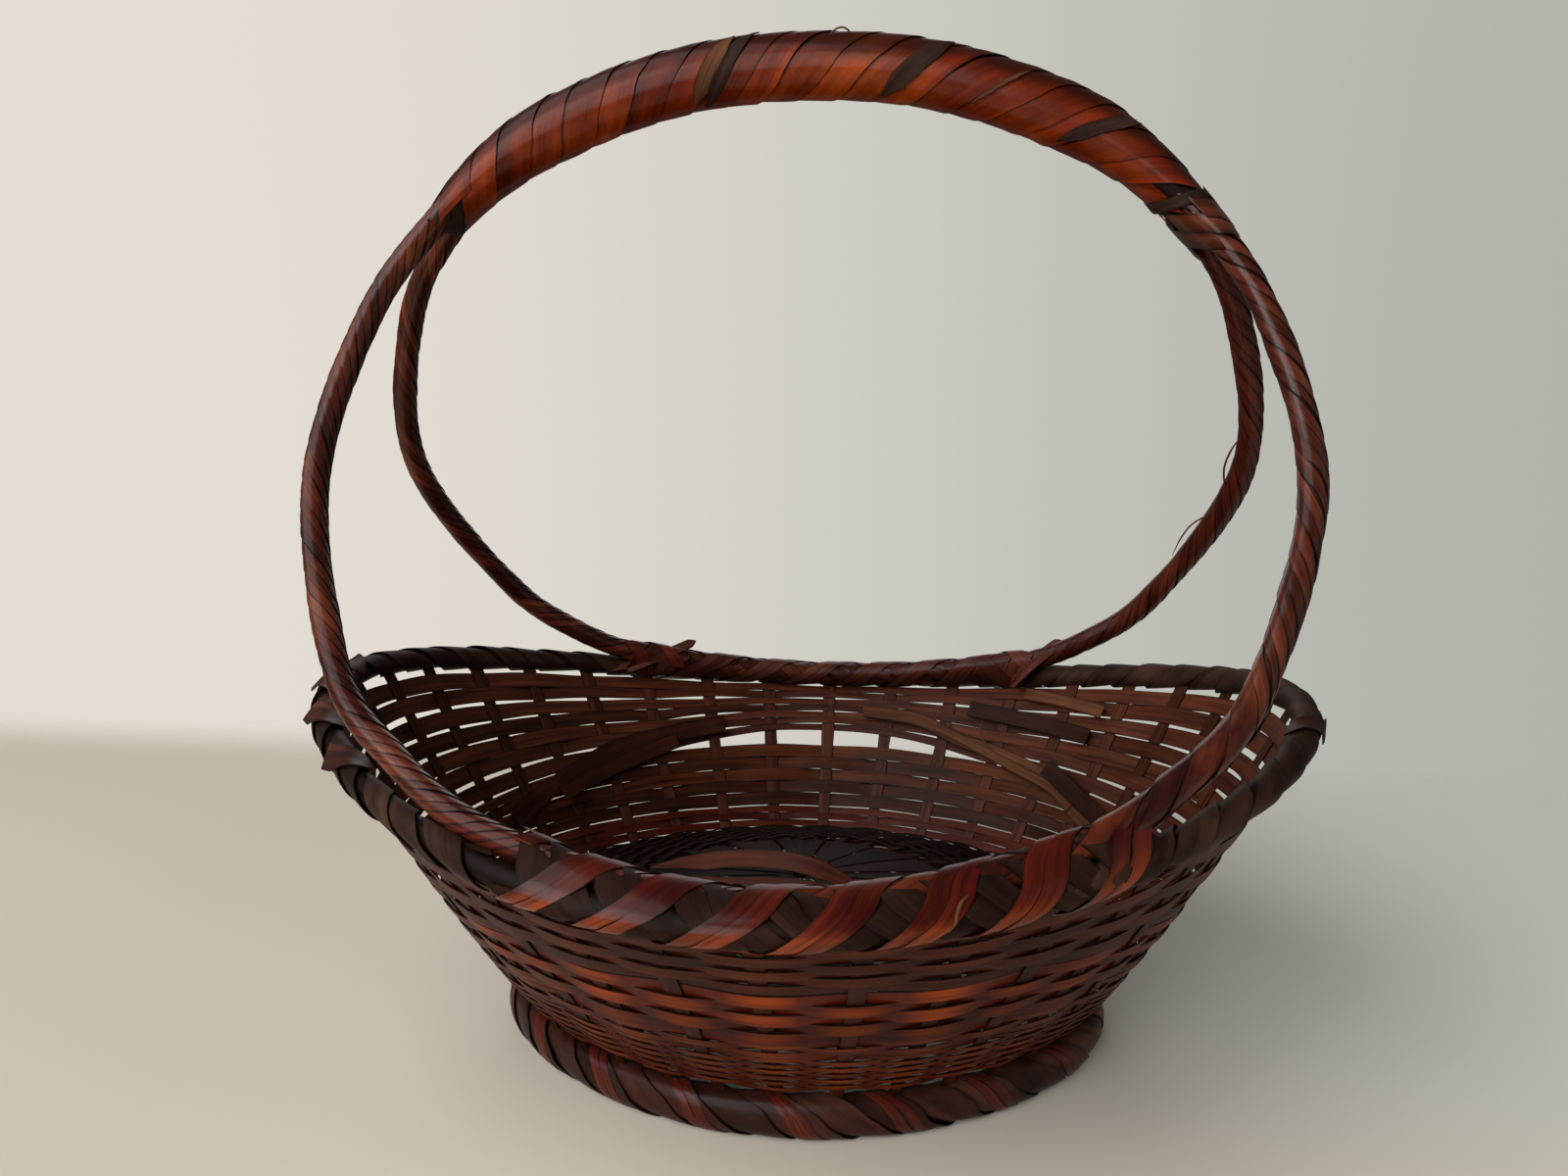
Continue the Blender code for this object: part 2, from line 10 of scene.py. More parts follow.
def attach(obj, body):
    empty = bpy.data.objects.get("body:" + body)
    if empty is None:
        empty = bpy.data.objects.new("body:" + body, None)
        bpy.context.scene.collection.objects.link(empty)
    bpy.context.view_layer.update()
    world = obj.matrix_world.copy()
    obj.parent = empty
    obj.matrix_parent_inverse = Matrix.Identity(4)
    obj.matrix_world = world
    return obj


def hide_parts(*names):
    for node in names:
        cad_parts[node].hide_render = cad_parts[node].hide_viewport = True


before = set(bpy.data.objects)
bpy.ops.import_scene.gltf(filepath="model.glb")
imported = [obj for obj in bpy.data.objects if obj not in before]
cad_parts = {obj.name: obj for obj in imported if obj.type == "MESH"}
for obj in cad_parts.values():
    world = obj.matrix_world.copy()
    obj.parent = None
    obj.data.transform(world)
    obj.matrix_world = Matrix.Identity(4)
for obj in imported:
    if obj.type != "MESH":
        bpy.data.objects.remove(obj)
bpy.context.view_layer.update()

scene = bpy.context.scene
stakeCount = 36
stakeStep = math.tau / stakeCount

wall = {
    "rimHalfLength": 0.183, "rimHalfDepth": 0.144, "rimSideHeight": 0.103, "rimEndRise": 0.031,
    "baseHalfLength": 0.113, "baseHalfDepth": 0.083, "footHeight": 0.0155,
    "planPinch": 0.13, "endFlare": 0.85,
    "floorRise": 0.018, "floorSideLevel": 0.264, "floorEndLevel": 0.194,
}
slopeStep = 0.02  # how far apart two places are compared for a slope, in radians or as a share of the height


def mix(low, high, share):
    return low + (high - low) * share


def hexColour(code):
    parts = [int(code[i:i + 2], 16) / 255 for i in (1, 3, 5)]
    return [c / 12.92 if c <= 0.04045 else ((c + 0.055) / 1.055) ** 2.4 for c in parts] + [1.0]


# Adds a node with its settings and links. A link given as a node takes the node's first output
def addNode(tree, kind, settings=None, links=None):
    made = tree.nodes.new(kind)
    for key, value in (settings or {}).items():
        setattr(made, key, value)
    for key, value in (links or {}).items():
        if isinstance(value, bpy.types.Node):
            value = value.outputs[0]
        if isinstance(value, bpy.types.NodeSocket):
            tree.links.new(value, made.inputs[key])
        else:
            made.inputs[key].default_value = value
    return made


def addObject(name, data):
    made = bpy.data.objects.new(name, data)
    scene.collection.objects.link(made)
    return made


# Shapes of the wall and the floor, the same rules as in the frame
def wallPoint(angle, level):
    length = mix(wall["baseHalfLength"], wall["rimHalfLength"], max(level, 0.0) ** wall["endFlare"])
    depth = mix(wall["baseHalfDepth"], wall["rimHalfDepth"], level)
    across = math.cos(angle)
    top = wall["rimSideHeight"] + wall["rimEndRise"] * across * across
    pinch = 1.0 - wall["planPinch"] * across * across
    return Vector((length * across, depth * math.sin(angle) * pinch, mix(wall["footHeight"], top, level)))


def wallFrame(angle, level):
    # along the ring, out of the wall, and up the wall
    along = (wallPoint(angle + slopeStep, level) - wallPoint(angle - slopeStep, level)).normalized()
    low = max(level - slopeStep, 0.0)
    rise = (wallPoint(angle, low + slopeStep * 2.0) - wallPoint(angle, low)).normalized()
    out = along.cross(rise).normalized()
    return along, out, out.cross(along)


def floorLevel(angle):
    return mix(wall["floorSideLevel"], wall["floorEndLevel"], math.cos(angle) ** 2)


def floorPoint(angle, reach):
    edge = wallPoint(angle, floorLevel(angle))
    return Vector((edge.x * reach, edge.y * reach, edge.z + wall["floorRise"] * (1.0 - reach * reach)))


def floorNormal(angle, reach):
    along = floorPoint(angle + slopeStep, reach) - floorPoint(angle - slopeStep, reach)
    out = floorPoint(angle, reach + slopeStep) - floorPoint(angle, max(reach - slopeStep, 0.001))
    return out.cross(along).normalized()


def stakeAngle(j):
    return math.radians(90.0) + stakeStep * j


# Handle hoops: turns from the top in degrees with shares of halfWidth, then the legs,
# then the seats on the rim in degrees round the wall
hoop = {
    "halfWidth": 0.170, "centreHeight": 0.216, "leastSpread": 0.00505, "stepsPerKnot": 24,
    "archTurns": (0.0, 20.0, 40.0, 55.0, 70.0, 90.0),
    "archRadii": (0.85, 0.872, 0.925, 0.963, 0.992, 1.0),
    "archSpreads": (0.031, 0.031, 0.031, 0.044, 0.108, 0.253),
    "legDrops": (0.61, 0.865), "legWidths": (0.854, 0.696), "legSpreads": (0.494, 0.592),
    "seatAngles": (58.0, 68.0, 79.0, 90.0), "seatStand": 0.0097, "seatTurns": (-13.0, 21.0),
}


def seatPoint(angle):
    share = math.cos(angle) ** 2 / math.cos(math.radians(hoop["seatAngles"][0])) ** 2
    turn = math.radians(mix(hoop["seatTurns"][0], hoop["seatTurns"][1], share))
    along, out, up = wallFrame(angle, 1.0)
    stand = hoop["seatStand"]
    return wallPoint(angle, 1.0) - out * (stand * math.cos(turn)) + up * (stand * math.sin(turn))


def hoopKnots():
    knots = []
    for degrees, radiusShare, spreadShare in zip(hoop["archTurns"], hoop["archRadii"], hoop["archSpreads"]):
        turn = math.radians(degrees)
        radius = hoop["halfWidth"] * radiusShare
        spread = max(hoop["halfWidth"] * spreadShare, hoop["leastSpread"])
        height = hoop["centreHeight"] + radius * math.cos(turn)
        knots.append(Vector((radius * math.sin(turn), spread, height)))
    seats = [seatPoint(math.radians(degrees)) for degrees in hoop["seatAngles"]]
    for drop, width, spread in zip(hoop["legDrops"], hoop["legWidths"], hoop["legSpreads"]):
        height = mix(hoop["centreHeight"], seats[0].z, drop)
        knots.append(Vector((hoop["halfWidth"] * width, hoop["halfWidth"] * spread, height)))
    knots.extend(seats)
    return knots + [Vector((-knot.x, knot.y, knot.z)) for knot in reversed(knots[1:-1])]


# A smooth curve between b and c that passes through all its knots
def splinePoint(a, b, c, d, t):
    return (b * 2.0 + (c - a) * t + (a * 2.0 - b * 5.0 + c * 4.0 - d) * t * t
            + (b * 3.0 - a - c * 3.0 + d) * t * t * t) / 2.0


def smoothLoop(knots, steps):
    points = []
    count = len(knots)
    for k in range(count):
        a, b, c, d = [knots[(k + n) % count] for n in (-1, 0, 1, 2)]
        for s in range(steps):
            point = splinePoint(a, b, c, d, s / steps)
            point.y = max(point.y, hoop["leastSpread"])
            points.append(point)
    return points


hoopRoute = smoothLoop(hoopKnots(), hoop["stepsPerKnot"])  # the rear hoop, from the top round by the right
print("frame loaded, hoop route of", len(hoopRoute), "points")


# Geometry node trees take these inputs: (label, kind of socket, value)
def newTree(name, inputs):
    tree = bpy.data.node_groups.new(name, "GeometryNodeTree")
    tree.interface.new_socket("Geometry", in_out="INPUT", socket_type="NodeSocketGeometry")
    for label, kind, value in inputs:
        socket = tree.interface.new_socket(label, in_out="INPUT", socket_type="NodeSocket" + kind)
        if value is not None:
            socket.default_value = value
    tree.interface.new_socket("Geometry", in_out="OUTPUT", socket_type="NodeSocketGeometry")
    return tree, addNode(tree, "NodeGroupInput"), addNode(tree, "NodeGroupOutput")


# Section of a strip: eight points round a flat lens with rounded edges, kept as profileX and profileY
def stripProfileTree():
    tree, given, result = newTree("stripProfile", ())
    index = addNode(tree, "GeometryNodeInputIndex")
    turn = addNode(tree, "ShaderNodeMath", {"operation": "MULTIPLY_ADD"},
                   {0: index, 1: math.tau / 8, 2: math.tau / 16})
    cosine = addNode(tree, "ShaderNodeMath", {"operation": "COSINE"}, {0: turn})
    wide = addNode(tree, "ShaderNodeMath", {"operation": "MULTIPLY"}, {0: cosine, 1: 1.0824})  # to full width
    sine = addNode(tree, "ShaderNodeMath", {"operation": "SINE"}, {0: turn})
    size = addNode(tree, "ShaderNodeMath", {"operation": "ABSOLUTE"}, {0: sine})
    flat = addNode(tree, "ShaderNodeMath", {"operation": "POWER"}, {0: size, 1: 0.5})
    side = addNode(tree, "ShaderNodeMath", {"operation": "SIGN"}, {0: sine})
    thick = addNode(tree, "ShaderNodeMath", {"operation": "MULTIPLY"}, {0: flat, 1: side})
    circle = addNode(tree, "GeometryNodeCurvePrimitiveCircle", {"mode": "RADIUS"}, {"Resolution": 8})
    named = addNode(tree, "GeometryNodeStoreNamedAttribute", {"data_type": "FLOAT", "domain": "POINT"},
                    {"Geometry": circle.outputs["Curve"], "Name": "profileX", "Value": wide})
    profile = addNode(tree, "GeometryNodeStoreNamedAttribute", {"data_type": "FLOAT", "domain": "POINT"},
                      {"Geometry": named, "Name": "profileY", "Value": thick})
    tree.links.new(profile.outputs[0], result.inputs[0])
    return tree


# How a strip is laid: room at both ends of the core in strip widths, wanders per metre of core,
# how far apart the strips' wanders are, and metres of strip to a metre of core
laying = {"endRoom": 0.65, "wanders": 60.0, "apart": 7.31, "stripPerCore": 1.4}


# Winds strips round a core path that carries coreOut and coreUp, the half axes of its section.
# Every point across a strip is set out on the core itself, so a broad strip hugs it.
def windingTree(stripProfile):
    tree, given, result = newTree("winding", (
        ("Strips", "Int", 3), ("Turns", "Float", 5.0), ("Width", "Float", 0.005),
        ("Thickness", "Float", 0.0007), ("Stand Off", "Float", 0.0), ("Samples", "Int", 200),
        ("Wobble", "Float", 0.1), ("Uneven", "Float", 0.2), ("Rise", "Float", 0.0003),
        ("Tilt", "Float", 0.0003), ("Squareness", "Float", 1.0), ("First", "Float", 0.0),
        ("Spread", "Float", 1.0), ("Scatter", "Float", 0.0), ("Seed", "Int", 1),
        ("Material", "Material", None)))
    core = addNode(tree, "GeometryNodeMeshToCurve", {}, {"Mesh": given.outputs["Geometry"]})
    length = addNode(tree, "GeometryNodeCurveLength", {}, {"Curve": core})
    line = addNode(tree, "GeometryNodeCurvePrimitiveLine", {}, {"End": (1.0, 0.0, 0.0)})
    fine = addNode(tree, "GeometryNodeResampleCurve", {"mode": "COUNT"}, {
        "Curve": line, "Count": given.outputs["Samples"]})
    factor = addNode(tree, "GeometryNodeSplineParameter")
    marked = addNode(tree, "GeometryNodeStoreNamedAttribute", {"data_type": "FLOAT", "domain": "POINT"}, {
        "Geometry": fine, "Name": "stripAlong", "Value": factor.outputs["Factor"]})
    copies = addNode(tree, "GeometryNodeDuplicateElements", {"domain": "SPLINE"}, {
        "Geometry": marked, "Amount": given.outputs["Strips"]})
    numbered = addNode(tree, "GeometryNodeStoreNamedAttribute", {"data_type": "INT", "domain": "POINT"}, {
        "Geometry": copies, "Name": "stripNumber", "Value": copies.outputs["Duplicate Index"]})
    profile = addNode(tree, "GeometryNodeGroup", {"node_tree": stripProfile})
    sweep = addNode(tree, "GeometryNodeCurveToMesh", {}, {
        "Curve": numbered, "Profile Curve": profile, "Fill Caps": True})
    along, across, face = [
        addNode(tree, "GeometryNodeInputNamedAttribute", {"data_type": "FLOAT"}, {"Name": label})
        for label in ("stripAlong", "profileX", "profileY")]
    number = addNode(tree, "GeometryNodeInputNamedAttribute", {"data_type": "INT"}, {"Name": "stripNumber"})
    # the strip keeps half its width clear of both ends of the core
    margin = addNode(tree, "ShaderNodeMath", {"operation": "DIVIDE"}, {0: given.outputs["Width"], 1: length})
    room = addNode(tree, "ShaderNodeMath", {"operation": "MULTIPLY_ADD"}, {
        0: margin, 1: -2.0 * laying["endRoom"], 2: 1.0})
    lead = addNode(tree, "ShaderNodeMath", {"operation": "MULTIPLY"}, {0: margin, 1: laying["endRoom"]})
    base = addNode(tree, "ShaderNodeMath", {"operation": "MULTIPLY_ADD"}, {
        0: along, 1: room, 2: lead})
    run = addNode(tree, "ShaderNodeMath", {"operation": "MULTIPLY"}, {0: base, 1: length})
    # uneven laying: the turn angle, the width and the height wander along each strip
    noiseX = addNode(tree, "ShaderNodeMath", {"operation": "MULTIPLY"}, {0: run, 1: laying["wanders"]})
    noiseY = addNode(tree, "ShaderNodeMath", {"operation": "MULTIPLY"}, {0: number, 1: laying["apart"]})
    noiseAt = addNode(tree, "ShaderNodeCombineXYZ", {}, {0: noiseX, 1: noiseY, 2: given.outputs["Seed"]})
    wander = addNode(tree, "ShaderNodeTexNoise", {"noise_dimensions": "3D"}, {
        "Vector": noiseAt, "Scale": 1.0, "Detail": 2.0})
    centred = addNode(tree, "ShaderNodeVectorMath", {"operation": "SUBTRACT"}, {
        0: wander.outputs["Color"], 1: (0.5, 0.5, 0.5)})
    strays = addNode(tree, "ShaderNodeSeparateXYZ", {}, {0: centred})
    widen = addNode(tree, "ShaderNodeMath", {"operation": "MULTIPLY_ADD"}, {
        0: strays.outputs[1], 1: given.outputs["Uneven"], 2: 0.5})
    half = addNode(tree, "ShaderNodeMath", {"operation": "MULTIPLY"}, {0: margin, 1: widen})
    at = addNode(tree, "ShaderNodeMath", {"operation": "MULTIPLY_ADD", "use_clamp": True}, {
        0: across, 1: half, 2: base})
    # each strip starts a little off its even place
    astray = addNode(tree, "FunctionNodeRandomValue", {"data_type": "FLOAT"}, {
        2: -0.5, 3: 0.5, "ID": number, "Seed": given.outputs["Seed"]})
    started = addNode(tree, "ShaderNodeMath", {"operation": "MULTIPLY_ADD"}, {
        0: astray.outputs[1], 1: given.outputs["Scatter"], 2: number})
    share = addNode(tree, "ShaderNodeMath", {"operation": "DIVIDE"}, {0: started, 1: given.outputs["Strips"]})
    phase = addNode(tree, "ShaderNodeMath", {"operation": "MULTIPLY_ADD"}, {
        0: share, 1: given.outputs["Spread"], 2: given.outputs["First"]})
    wound = addNode(tree, "ShaderNodeMath", {"operation": "MULTIPLY_ADD"}, {
        0: base, 1: given.outputs["Turns"], 2: phase})
    loose = addNode(tree, "ShaderNodeMath", {"operation": "MULTIPLY_ADD"}, {
        0: strays, 1: given.outputs["Wobble"], 2: wound})
    angle = addNode(tree, "ShaderNodeMath", {"operation": "MULTIPLY"}, {0: loose, 1: math.tau})
    arms = []
    waves = []
    for operation, label in (("COSINE", "coreOut"), ("SINE", "coreUp")):
        wave = addNode(tree, "ShaderNodeMath", {"operation": operation}, {0: angle})
        size = addNode(tree, "ShaderNodeMath", {"operation": "ABSOLUTE"}, {0: wave})
        square = addNode(tree, "ShaderNodeMath", {"operation": "POWER"}, {
            0: size, 1: given.outputs["Squareness"]})
        side = addNode(tree, "ShaderNodeMath", {"operation": "SIGN"}, {0: wave})
        reach = addNode(tree, "ShaderNodeMath", {"operation": "MULTIPLY"}, {0: square, 1: side})
        axis = addNode(tree, "GeometryNodeInputNamedAttribute", {"data_type": "FLOAT_VECTOR"}, {
            "Name": label})
        place = addNode(tree, "GeometryNodeSampleCurve", {"mode": "FACTOR", "data_type": "FLOAT_VECTOR"}, {
            "Curves": core, "Value": axis, "Factor": at})
        arms.append(addNode(tree, "ShaderNodeVectorMath", {"operation": "SCALE"},
                            {0: place, "Scale": reach}))
        waves.append(wave)
    radial = addNode(tree, "ShaderNodeVectorMath", {"operation": "ADD"}, {0: arms[0], 1: arms[1]})
    outward = addNode(tree, "ShaderNodeVectorMath", {"operation": "NORMALIZE"}, {0: radial})
    lifted = addNode(tree, "ShaderNodeMath", {"operation": "MULTIPLY_ADD"}, {
        0: strays.outputs[2], 1: given.outputs["Rise"], 2: given.outputs["Stand Off"]})
    shingled = addNode(tree, "ShaderNodeMath", {"operation": "MULTIPLY_ADD"}, {
        0: across, 1: given.outputs["Tilt"], 2: lifted})
    skin = addNode(tree, "ShaderNodeMath", {"operation": "MULTIPLY_ADD"}, {0: face, 1: 0.5, 2: 0.5})
    stand = addNode(tree, "ShaderNodeMath", {"operation": "MULTIPLY_ADD"}, {
        0: skin, 1: given.outputs["Thickness"], 2: shingled})
    stood = addNode(tree, "ShaderNodeVectorMath", {"operation": "SCALE"}, {
        0: outward, "Scale": stand})
    onCore = addNode(tree, "ShaderNodeVectorMath", {"operation": "ADD"}, {
        0: place.outputs["Position"], 1: radial})
    onSkin = addNode(tree, "ShaderNodeVectorMath", {"operation": "ADD"}, {0: onCore, 1: stood})
    placed = addNode(tree, "GeometryNodeSetPosition", {}, {"Geometry": sweep, "Position": onSkin})
    mapU = addNode(tree, "ShaderNodeMath", {"operation": "MULTIPLY"}, {0: run, 1: laying["stripPerCore"]})
    mapV = addNode(tree, "ShaderNodeMath", {"operation": "MULTIPLY_ADD"}, {0: across, 1: 0.5, 2: 0.5})
    mapAt = addNode(tree, "ShaderNodeCombineXYZ", {}, {0: mapU, 1: mapV})
    mapped = addNode(tree, "GeometryNodeStoreNamedAttribute", {"data_type": "FLOAT2", "domain": "CORNER"},
                     {"Geometry": placed, "Name": "stripMap", "Value": mapAt})
    chance = addNode(tree, "FunctionNodeRandomValue", {"data_type": "FLOAT"}, {
        "ID": number, "Seed": given.outputs["Seed"]})
    toned = addNode(tree, "GeometryNodeStoreNamedAttribute", {"data_type": "FLOAT", "domain": "POINT"},
                    {"Geometry": mapped, "Name": "stripShade", "Value": chance.outputs[1]})
    swelled = addNode(tree, "GeometryNodeStoreNamedAttribute", {"data_type": "FLOAT", "domain": "POINT"},
                      {"Geometry": toned, "Name": "stripSwell", "Value": waves[0]})
    smooth = addNode(tree, "GeometryNodeSetShadeSmooth", {}, {"Geometry": swelled})
    real = addNode(tree, "GeometryNodeRealizeInstances", {}, {"Geometry": smooth})
    finished = addNode(tree, "GeometryNodeSetMaterial", {}, {
        "Geometry": real, "Material": given.outputs["Material"]})
    tree.links.new(finished.outputs[0], result.inputs[0])
    return tree


# Wanders per metre of a row, and how far apart the rows' wanders are
weaving = {"wanders": 28.0, "apart": 40.0}


# Weaves rows through the stakes: rails carry faceOut, acrossHalf, stakesPassed and weaveLift
def wovenRowTree(stripProfile):
    tree, given, result = newTree("wovenRow", (
        ("Thickness", "Float", 0.0006), ("Wobble", "Float", 0.0003), ("Seed", "Float", 1.0),
        ("Material", "Material", None)))
    curve = addNode(tree, "GeometryNodeMeshToCurve", {}, {"Mesh": given.outputs["Geometry"]})
    passed, lift, shade = [
        addNode(tree, "GeometryNodeInputNamedAttribute", {"data_type": "FLOAT"}, {"Name": label})
        for label in ("stakesPassed", "weaveLift", "stripShade")]
    faceOut, acrossHalf = [
        addNode(tree, "GeometryNodeInputNamedAttribute", {"data_type": "FLOAT_VECTOR"}, {"Name": label})
        for label in ("faceOut", "acrossHalf")]
    angle = addNode(tree, "ShaderNodeMath", {"operation": "MULTIPLY"}, {0: passed, 1: math.pi})
    wave = addNode(tree, "ShaderNodeMath", {"operation": "COSINE"}, {0: angle})
    height = addNode(tree, "ShaderNodeMath", {"operation": "MULTIPLY"}, {0: wave, 1: lift})
    bowed = addNode(tree, "ShaderNodeVectorMath", {"operation": "SCALE"}, {0: faceOut, "Scale": height})
    position = addNode(tree, "GeometryNodeInputPosition")
    grain = addNode(tree, "ShaderNodeVectorMath", {"operation": "SCALE"}, {
        0: position, "Scale": weaving["wanders"]})
    turned = addNode(tree, "ShaderNodeMath", {"operation": "MULTIPLY_ADD"}, {
        0: shade, 1: weaving["apart"], 2: given.outputs["Seed"]})
    stray = addNode(tree, "ShaderNodeTexNoise", {"noise_dimensions": "4D"}, {
        "Vector": grain, "W": turned, "Scale": 1.0, "Detail": 1.0})
    strayed = addNode(tree, "ShaderNodeMath", {"operation": "SUBTRACT"}, {0: stray, 1: 0.5})
    slip = addNode(tree, "ShaderNodeMath", {"operation": "MULTIPLY"}, {
        0: strayed, 1: given.outputs["Wobble"]})
    sideUnit = addNode(tree, "ShaderNodeVectorMath", {"operation": "NORMALIZE"}, {0: acrossHalf})
    slipped = addNode(tree, "ShaderNodeVectorMath", {"operation": "SCALE"}, {0: sideUnit, "Scale": slip})
    offset = addNode(tree, "ShaderNodeVectorMath", {"operation": "ADD"}, {0: bowed, 1: slipped})
    woven = addNode(tree, "GeometryNodeSetPosition", {}, {"Geometry": curve, "Offset": offset})
    swell = addNode(tree, "GeometryNodeStoreNamedAttribute", {"data_type": "FLOAT", "domain": "POINT"},
                    {"Geometry": woven, "Name": "stripSwell", "Value": wave})
    railed = addNode(tree, "GeometryNodeStoreNamedAttribute", {
        "data_type": "FLOAT_VECTOR", "domain": "POINT"}, {
        "Geometry": swell, "Name": "railAt", "Value": position})
    profile = addNode(tree, "GeometryNodeGroup", {"node_tree": stripProfile})
    sweep = addNode(tree, "GeometryNodeCurveToMesh", {}, {
        "Curve": railed, "Profile Curve": profile, "Fill Caps": True})
    railAt = addNode(tree, "GeometryNodeInputNamedAttribute", {"data_type": "FLOAT_VECTOR"}, {
        "Name": "railAt"})
    across, face, length = [
        addNode(tree, "GeometryNodeInputNamedAttribute", {"data_type": "FLOAT"}, {"Name": label})
        for label in ("profileX", "profileY", "railLength")]
    half = addNode(tree, "ShaderNodeMath", {"operation": "MULTIPLY"}, {0: given.outputs["Thickness"], 1: 0.5})
    skin = addNode(tree, "ShaderNodeMath", {"operation": "MULTIPLY"}, {0: face, 1: half})
    spread = addNode(tree, "ShaderNodeVectorMath", {"operation": "SCALE"},
                     {0: acrossHalf, "Scale": across})
    lifted = addNode(tree, "ShaderNodeVectorMath", {"operation": "SCALE"},
                     {0: faceOut, "Scale": skin})
    aside = addNode(tree, "ShaderNodeVectorMath", {"operation": "ADD"}, {0: spread, 1: lifted})
    place = addNode(tree, "ShaderNodeVectorMath", {"operation": "ADD"}, {0: railAt, 1: aside})
    placed = addNode(tree, "GeometryNodeSetPosition", {}, {"Geometry": sweep, "Position": place})
    mapV = addNode(tree, "ShaderNodeMath", {"operation": "MULTIPLY_ADD"}, {0: across, 1: 0.5, 2: 0.5})
    mapAt = addNode(tree, "ShaderNodeCombineXYZ", {}, {0: length, 1: mapV})
    mapped = addNode(tree, "GeometryNodeStoreNamedAttribute", {"data_type": "FLOAT2", "domain": "CORNER"},
                     {"Geometry": placed, "Name": "stripMap", "Value": mapAt})
    smooth = addNode(tree, "GeometryNodeSetShadeSmooth", {}, {"Geometry": mapped})
    real = addNode(tree, "GeometryNodeRealizeInstances", {}, {"Geometry": smooth})
    finished = addNode(tree, "GeometryNodeSetMaterial", {}, {
        "Geometry": real, "Material": given.outputs["Material"]})
    tree.links.new(finished.outputs[0], result.inputs[0])
    return tree


# A mesh of edges only: each rail is (points, closed, {attribute: values})
def railMesh(name, rails):
    points = []
    edges = []
    values = {}
    for places, closed, attributes in rails:
        first = len(points)
        points.extend(places)
        last = len(points) if closed else len(points) - 1
        edges.extend((k, k + 1 if k + 1 < len(points) else first) for k in range(first, last))
        for label, given in attributes.items():
            values.setdefault(label, []).extend(given)
    mesh = bpy.data.meshes.new(name)
    mesh.from_pydata(points, edges, [])
    for label, given in values.items():
        if isinstance(given[0], Vector):
            layer = mesh.attributes.new(label, "FLOAT_VECTOR", "POINT")
            layer.data.foreach_set("vector", [part for value in given for part in value])
        else:
            layer = mesh.attributes.new(label, "FLOAT", "POINT")
            layer.data.foreach_set("value", given)
    return mesh


def faceOutwards(mesh):
    bm = bmesh.new()
    bm.from_mesh(mesh)
    bmesh.ops.recalc_face_normals(bm, faces=bm.faces)
    bm.to_mesh(mesh)
    bm.free()
    mesh.set_sharp_from_angle(angle=math.radians(38.0))  # split bamboo keeps crisp long edges


def runTree(name, rails, tree, values):
    carrier = addObject("rails", railMesh(name + "Rails", rails))
    modifier = carrier.modifiers.new("strips", "NODES")
    modifier.node_group = tree
    for item in tree.interface.items_tree:
        if item.item_type == "SOCKET" and item.in_out == "INPUT" and item.name in values:
            modifier[item.identifier] = values[item.name]
    bpy.context.view_layer.update()
    graph = bpy.context.evaluated_depsgraph_get()
    mesh = bpy.data.meshes.new_from_object(carrier.evaluated_get(graph))
    mesh.name = name
    faceOutwards(mesh)
    bpy.data.objects.remove(carrier, do_unlink=True)
    print("strips", name, len(mesh.polygons), "faces")
    return addObject(name, mesh)


def finishPiece(piece, nodes=()):
    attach(piece, "root")
    if nodes:
        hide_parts(*nodes)


# Strips laid one by one: each is a list of stations (centre, half across, thickness direction) with a shade
def laidStrips(name, strips, material, thickness):
    bm = bmesh.new()
    mapLayer = bm.loops.layers.uv.new("stripMap")
    shadeLayer = bm.verts.layers.float.new("stripShade")
    faceLayer = bm.verts.layers.float.new("profileY")
    flat = 0.55  # share of the width and of the thickness that stays flat
    section = [(1.0, flat), (flat, 1.0), (-flat, 1.0), (-1.0, flat),
               (-1.0, -flat), (-flat, -1.0), (flat, -1.0), (1.0, -flat)]
    for stations, shade in strips:
        rings = []
        length = 0.0
        before = None
        for centre, half, out in stations:
            length += (centre - before).length if before is not None else 0.0
            before = centre
            ring = []
            for x, y in section:
                vert = bm.verts.new(centre + half * x + out * (thickness / 2.0 * y))
                vert[shadeLayer] = shade
                vert[faceLayer] = y
                ring.append(vert)
            rings.append((ring, length))
        for (near, start), (far, end) in zip(rings, rings[1:]):
            for k in range(len(section)):
                n = (k + 1) % len(section)
                face = bm.faces.new((near[k], near[n], far[n], far[k]))
                face.smooth = True
                here, there = section[k][0], section[n][0]
                spots = ((start, here), (start, there), (end, there), (end, here))
                for loop, (u, v) in zip(face.loops, spots):
                    loop[mapLayer].uv = (u, v * 0.5 + 0.5)
        for ring, at in (rings[0], rings[-1]):
            face = bm.faces.new(ring)
            for loop, (x, y) in zip(face.loops, section):
                loop[mapLayer].uv = (at, x * 0.5 + 0.5)
    mesh = bpy.data.meshes.new(name)
    bm.to_mesh(mesh)
    bm.free()
    faceOutwards(mesh)
    mesh.materials.append(material)
    print("laid", name, len(mesh.polygons), "faces")
    return addObject(name, mesh)


# Even places through the knots of an open route
def throughKnots(knots, steps):
    places = []
    for k in range(steps + 1):
        at = k / steps * (len(knots) - 1)
        n = min(int(at), len(knots) - 2)
        a, b, c, d = [Vector(knots[min(max(n + m, 0), len(knots) - 1)]) for m in (-1, 0, 1, 2)]
        places.append(splinePoint(a, b, c, d, at - n))
    return places


def looseStations(places, normals, width, pointed):
    stations = []
    for k, (place, normal) in enumerate(zip(places, normals)):
        way = (places[min(k + 1, len(places) - 1)] - places[max(k - 1, 0)]).normalized()
        out = (normal - way * normal.dot(way)).normalized()
        share = k / (len(places) - 1)
        taper = min(1.0, 0.12 + share / pointed, 0.12 + (1.0 - share) / pointed) if pointed else 1.0
        stations.append((place, way.cross(out) * (width / 2.0 * taper), out))
    return stations


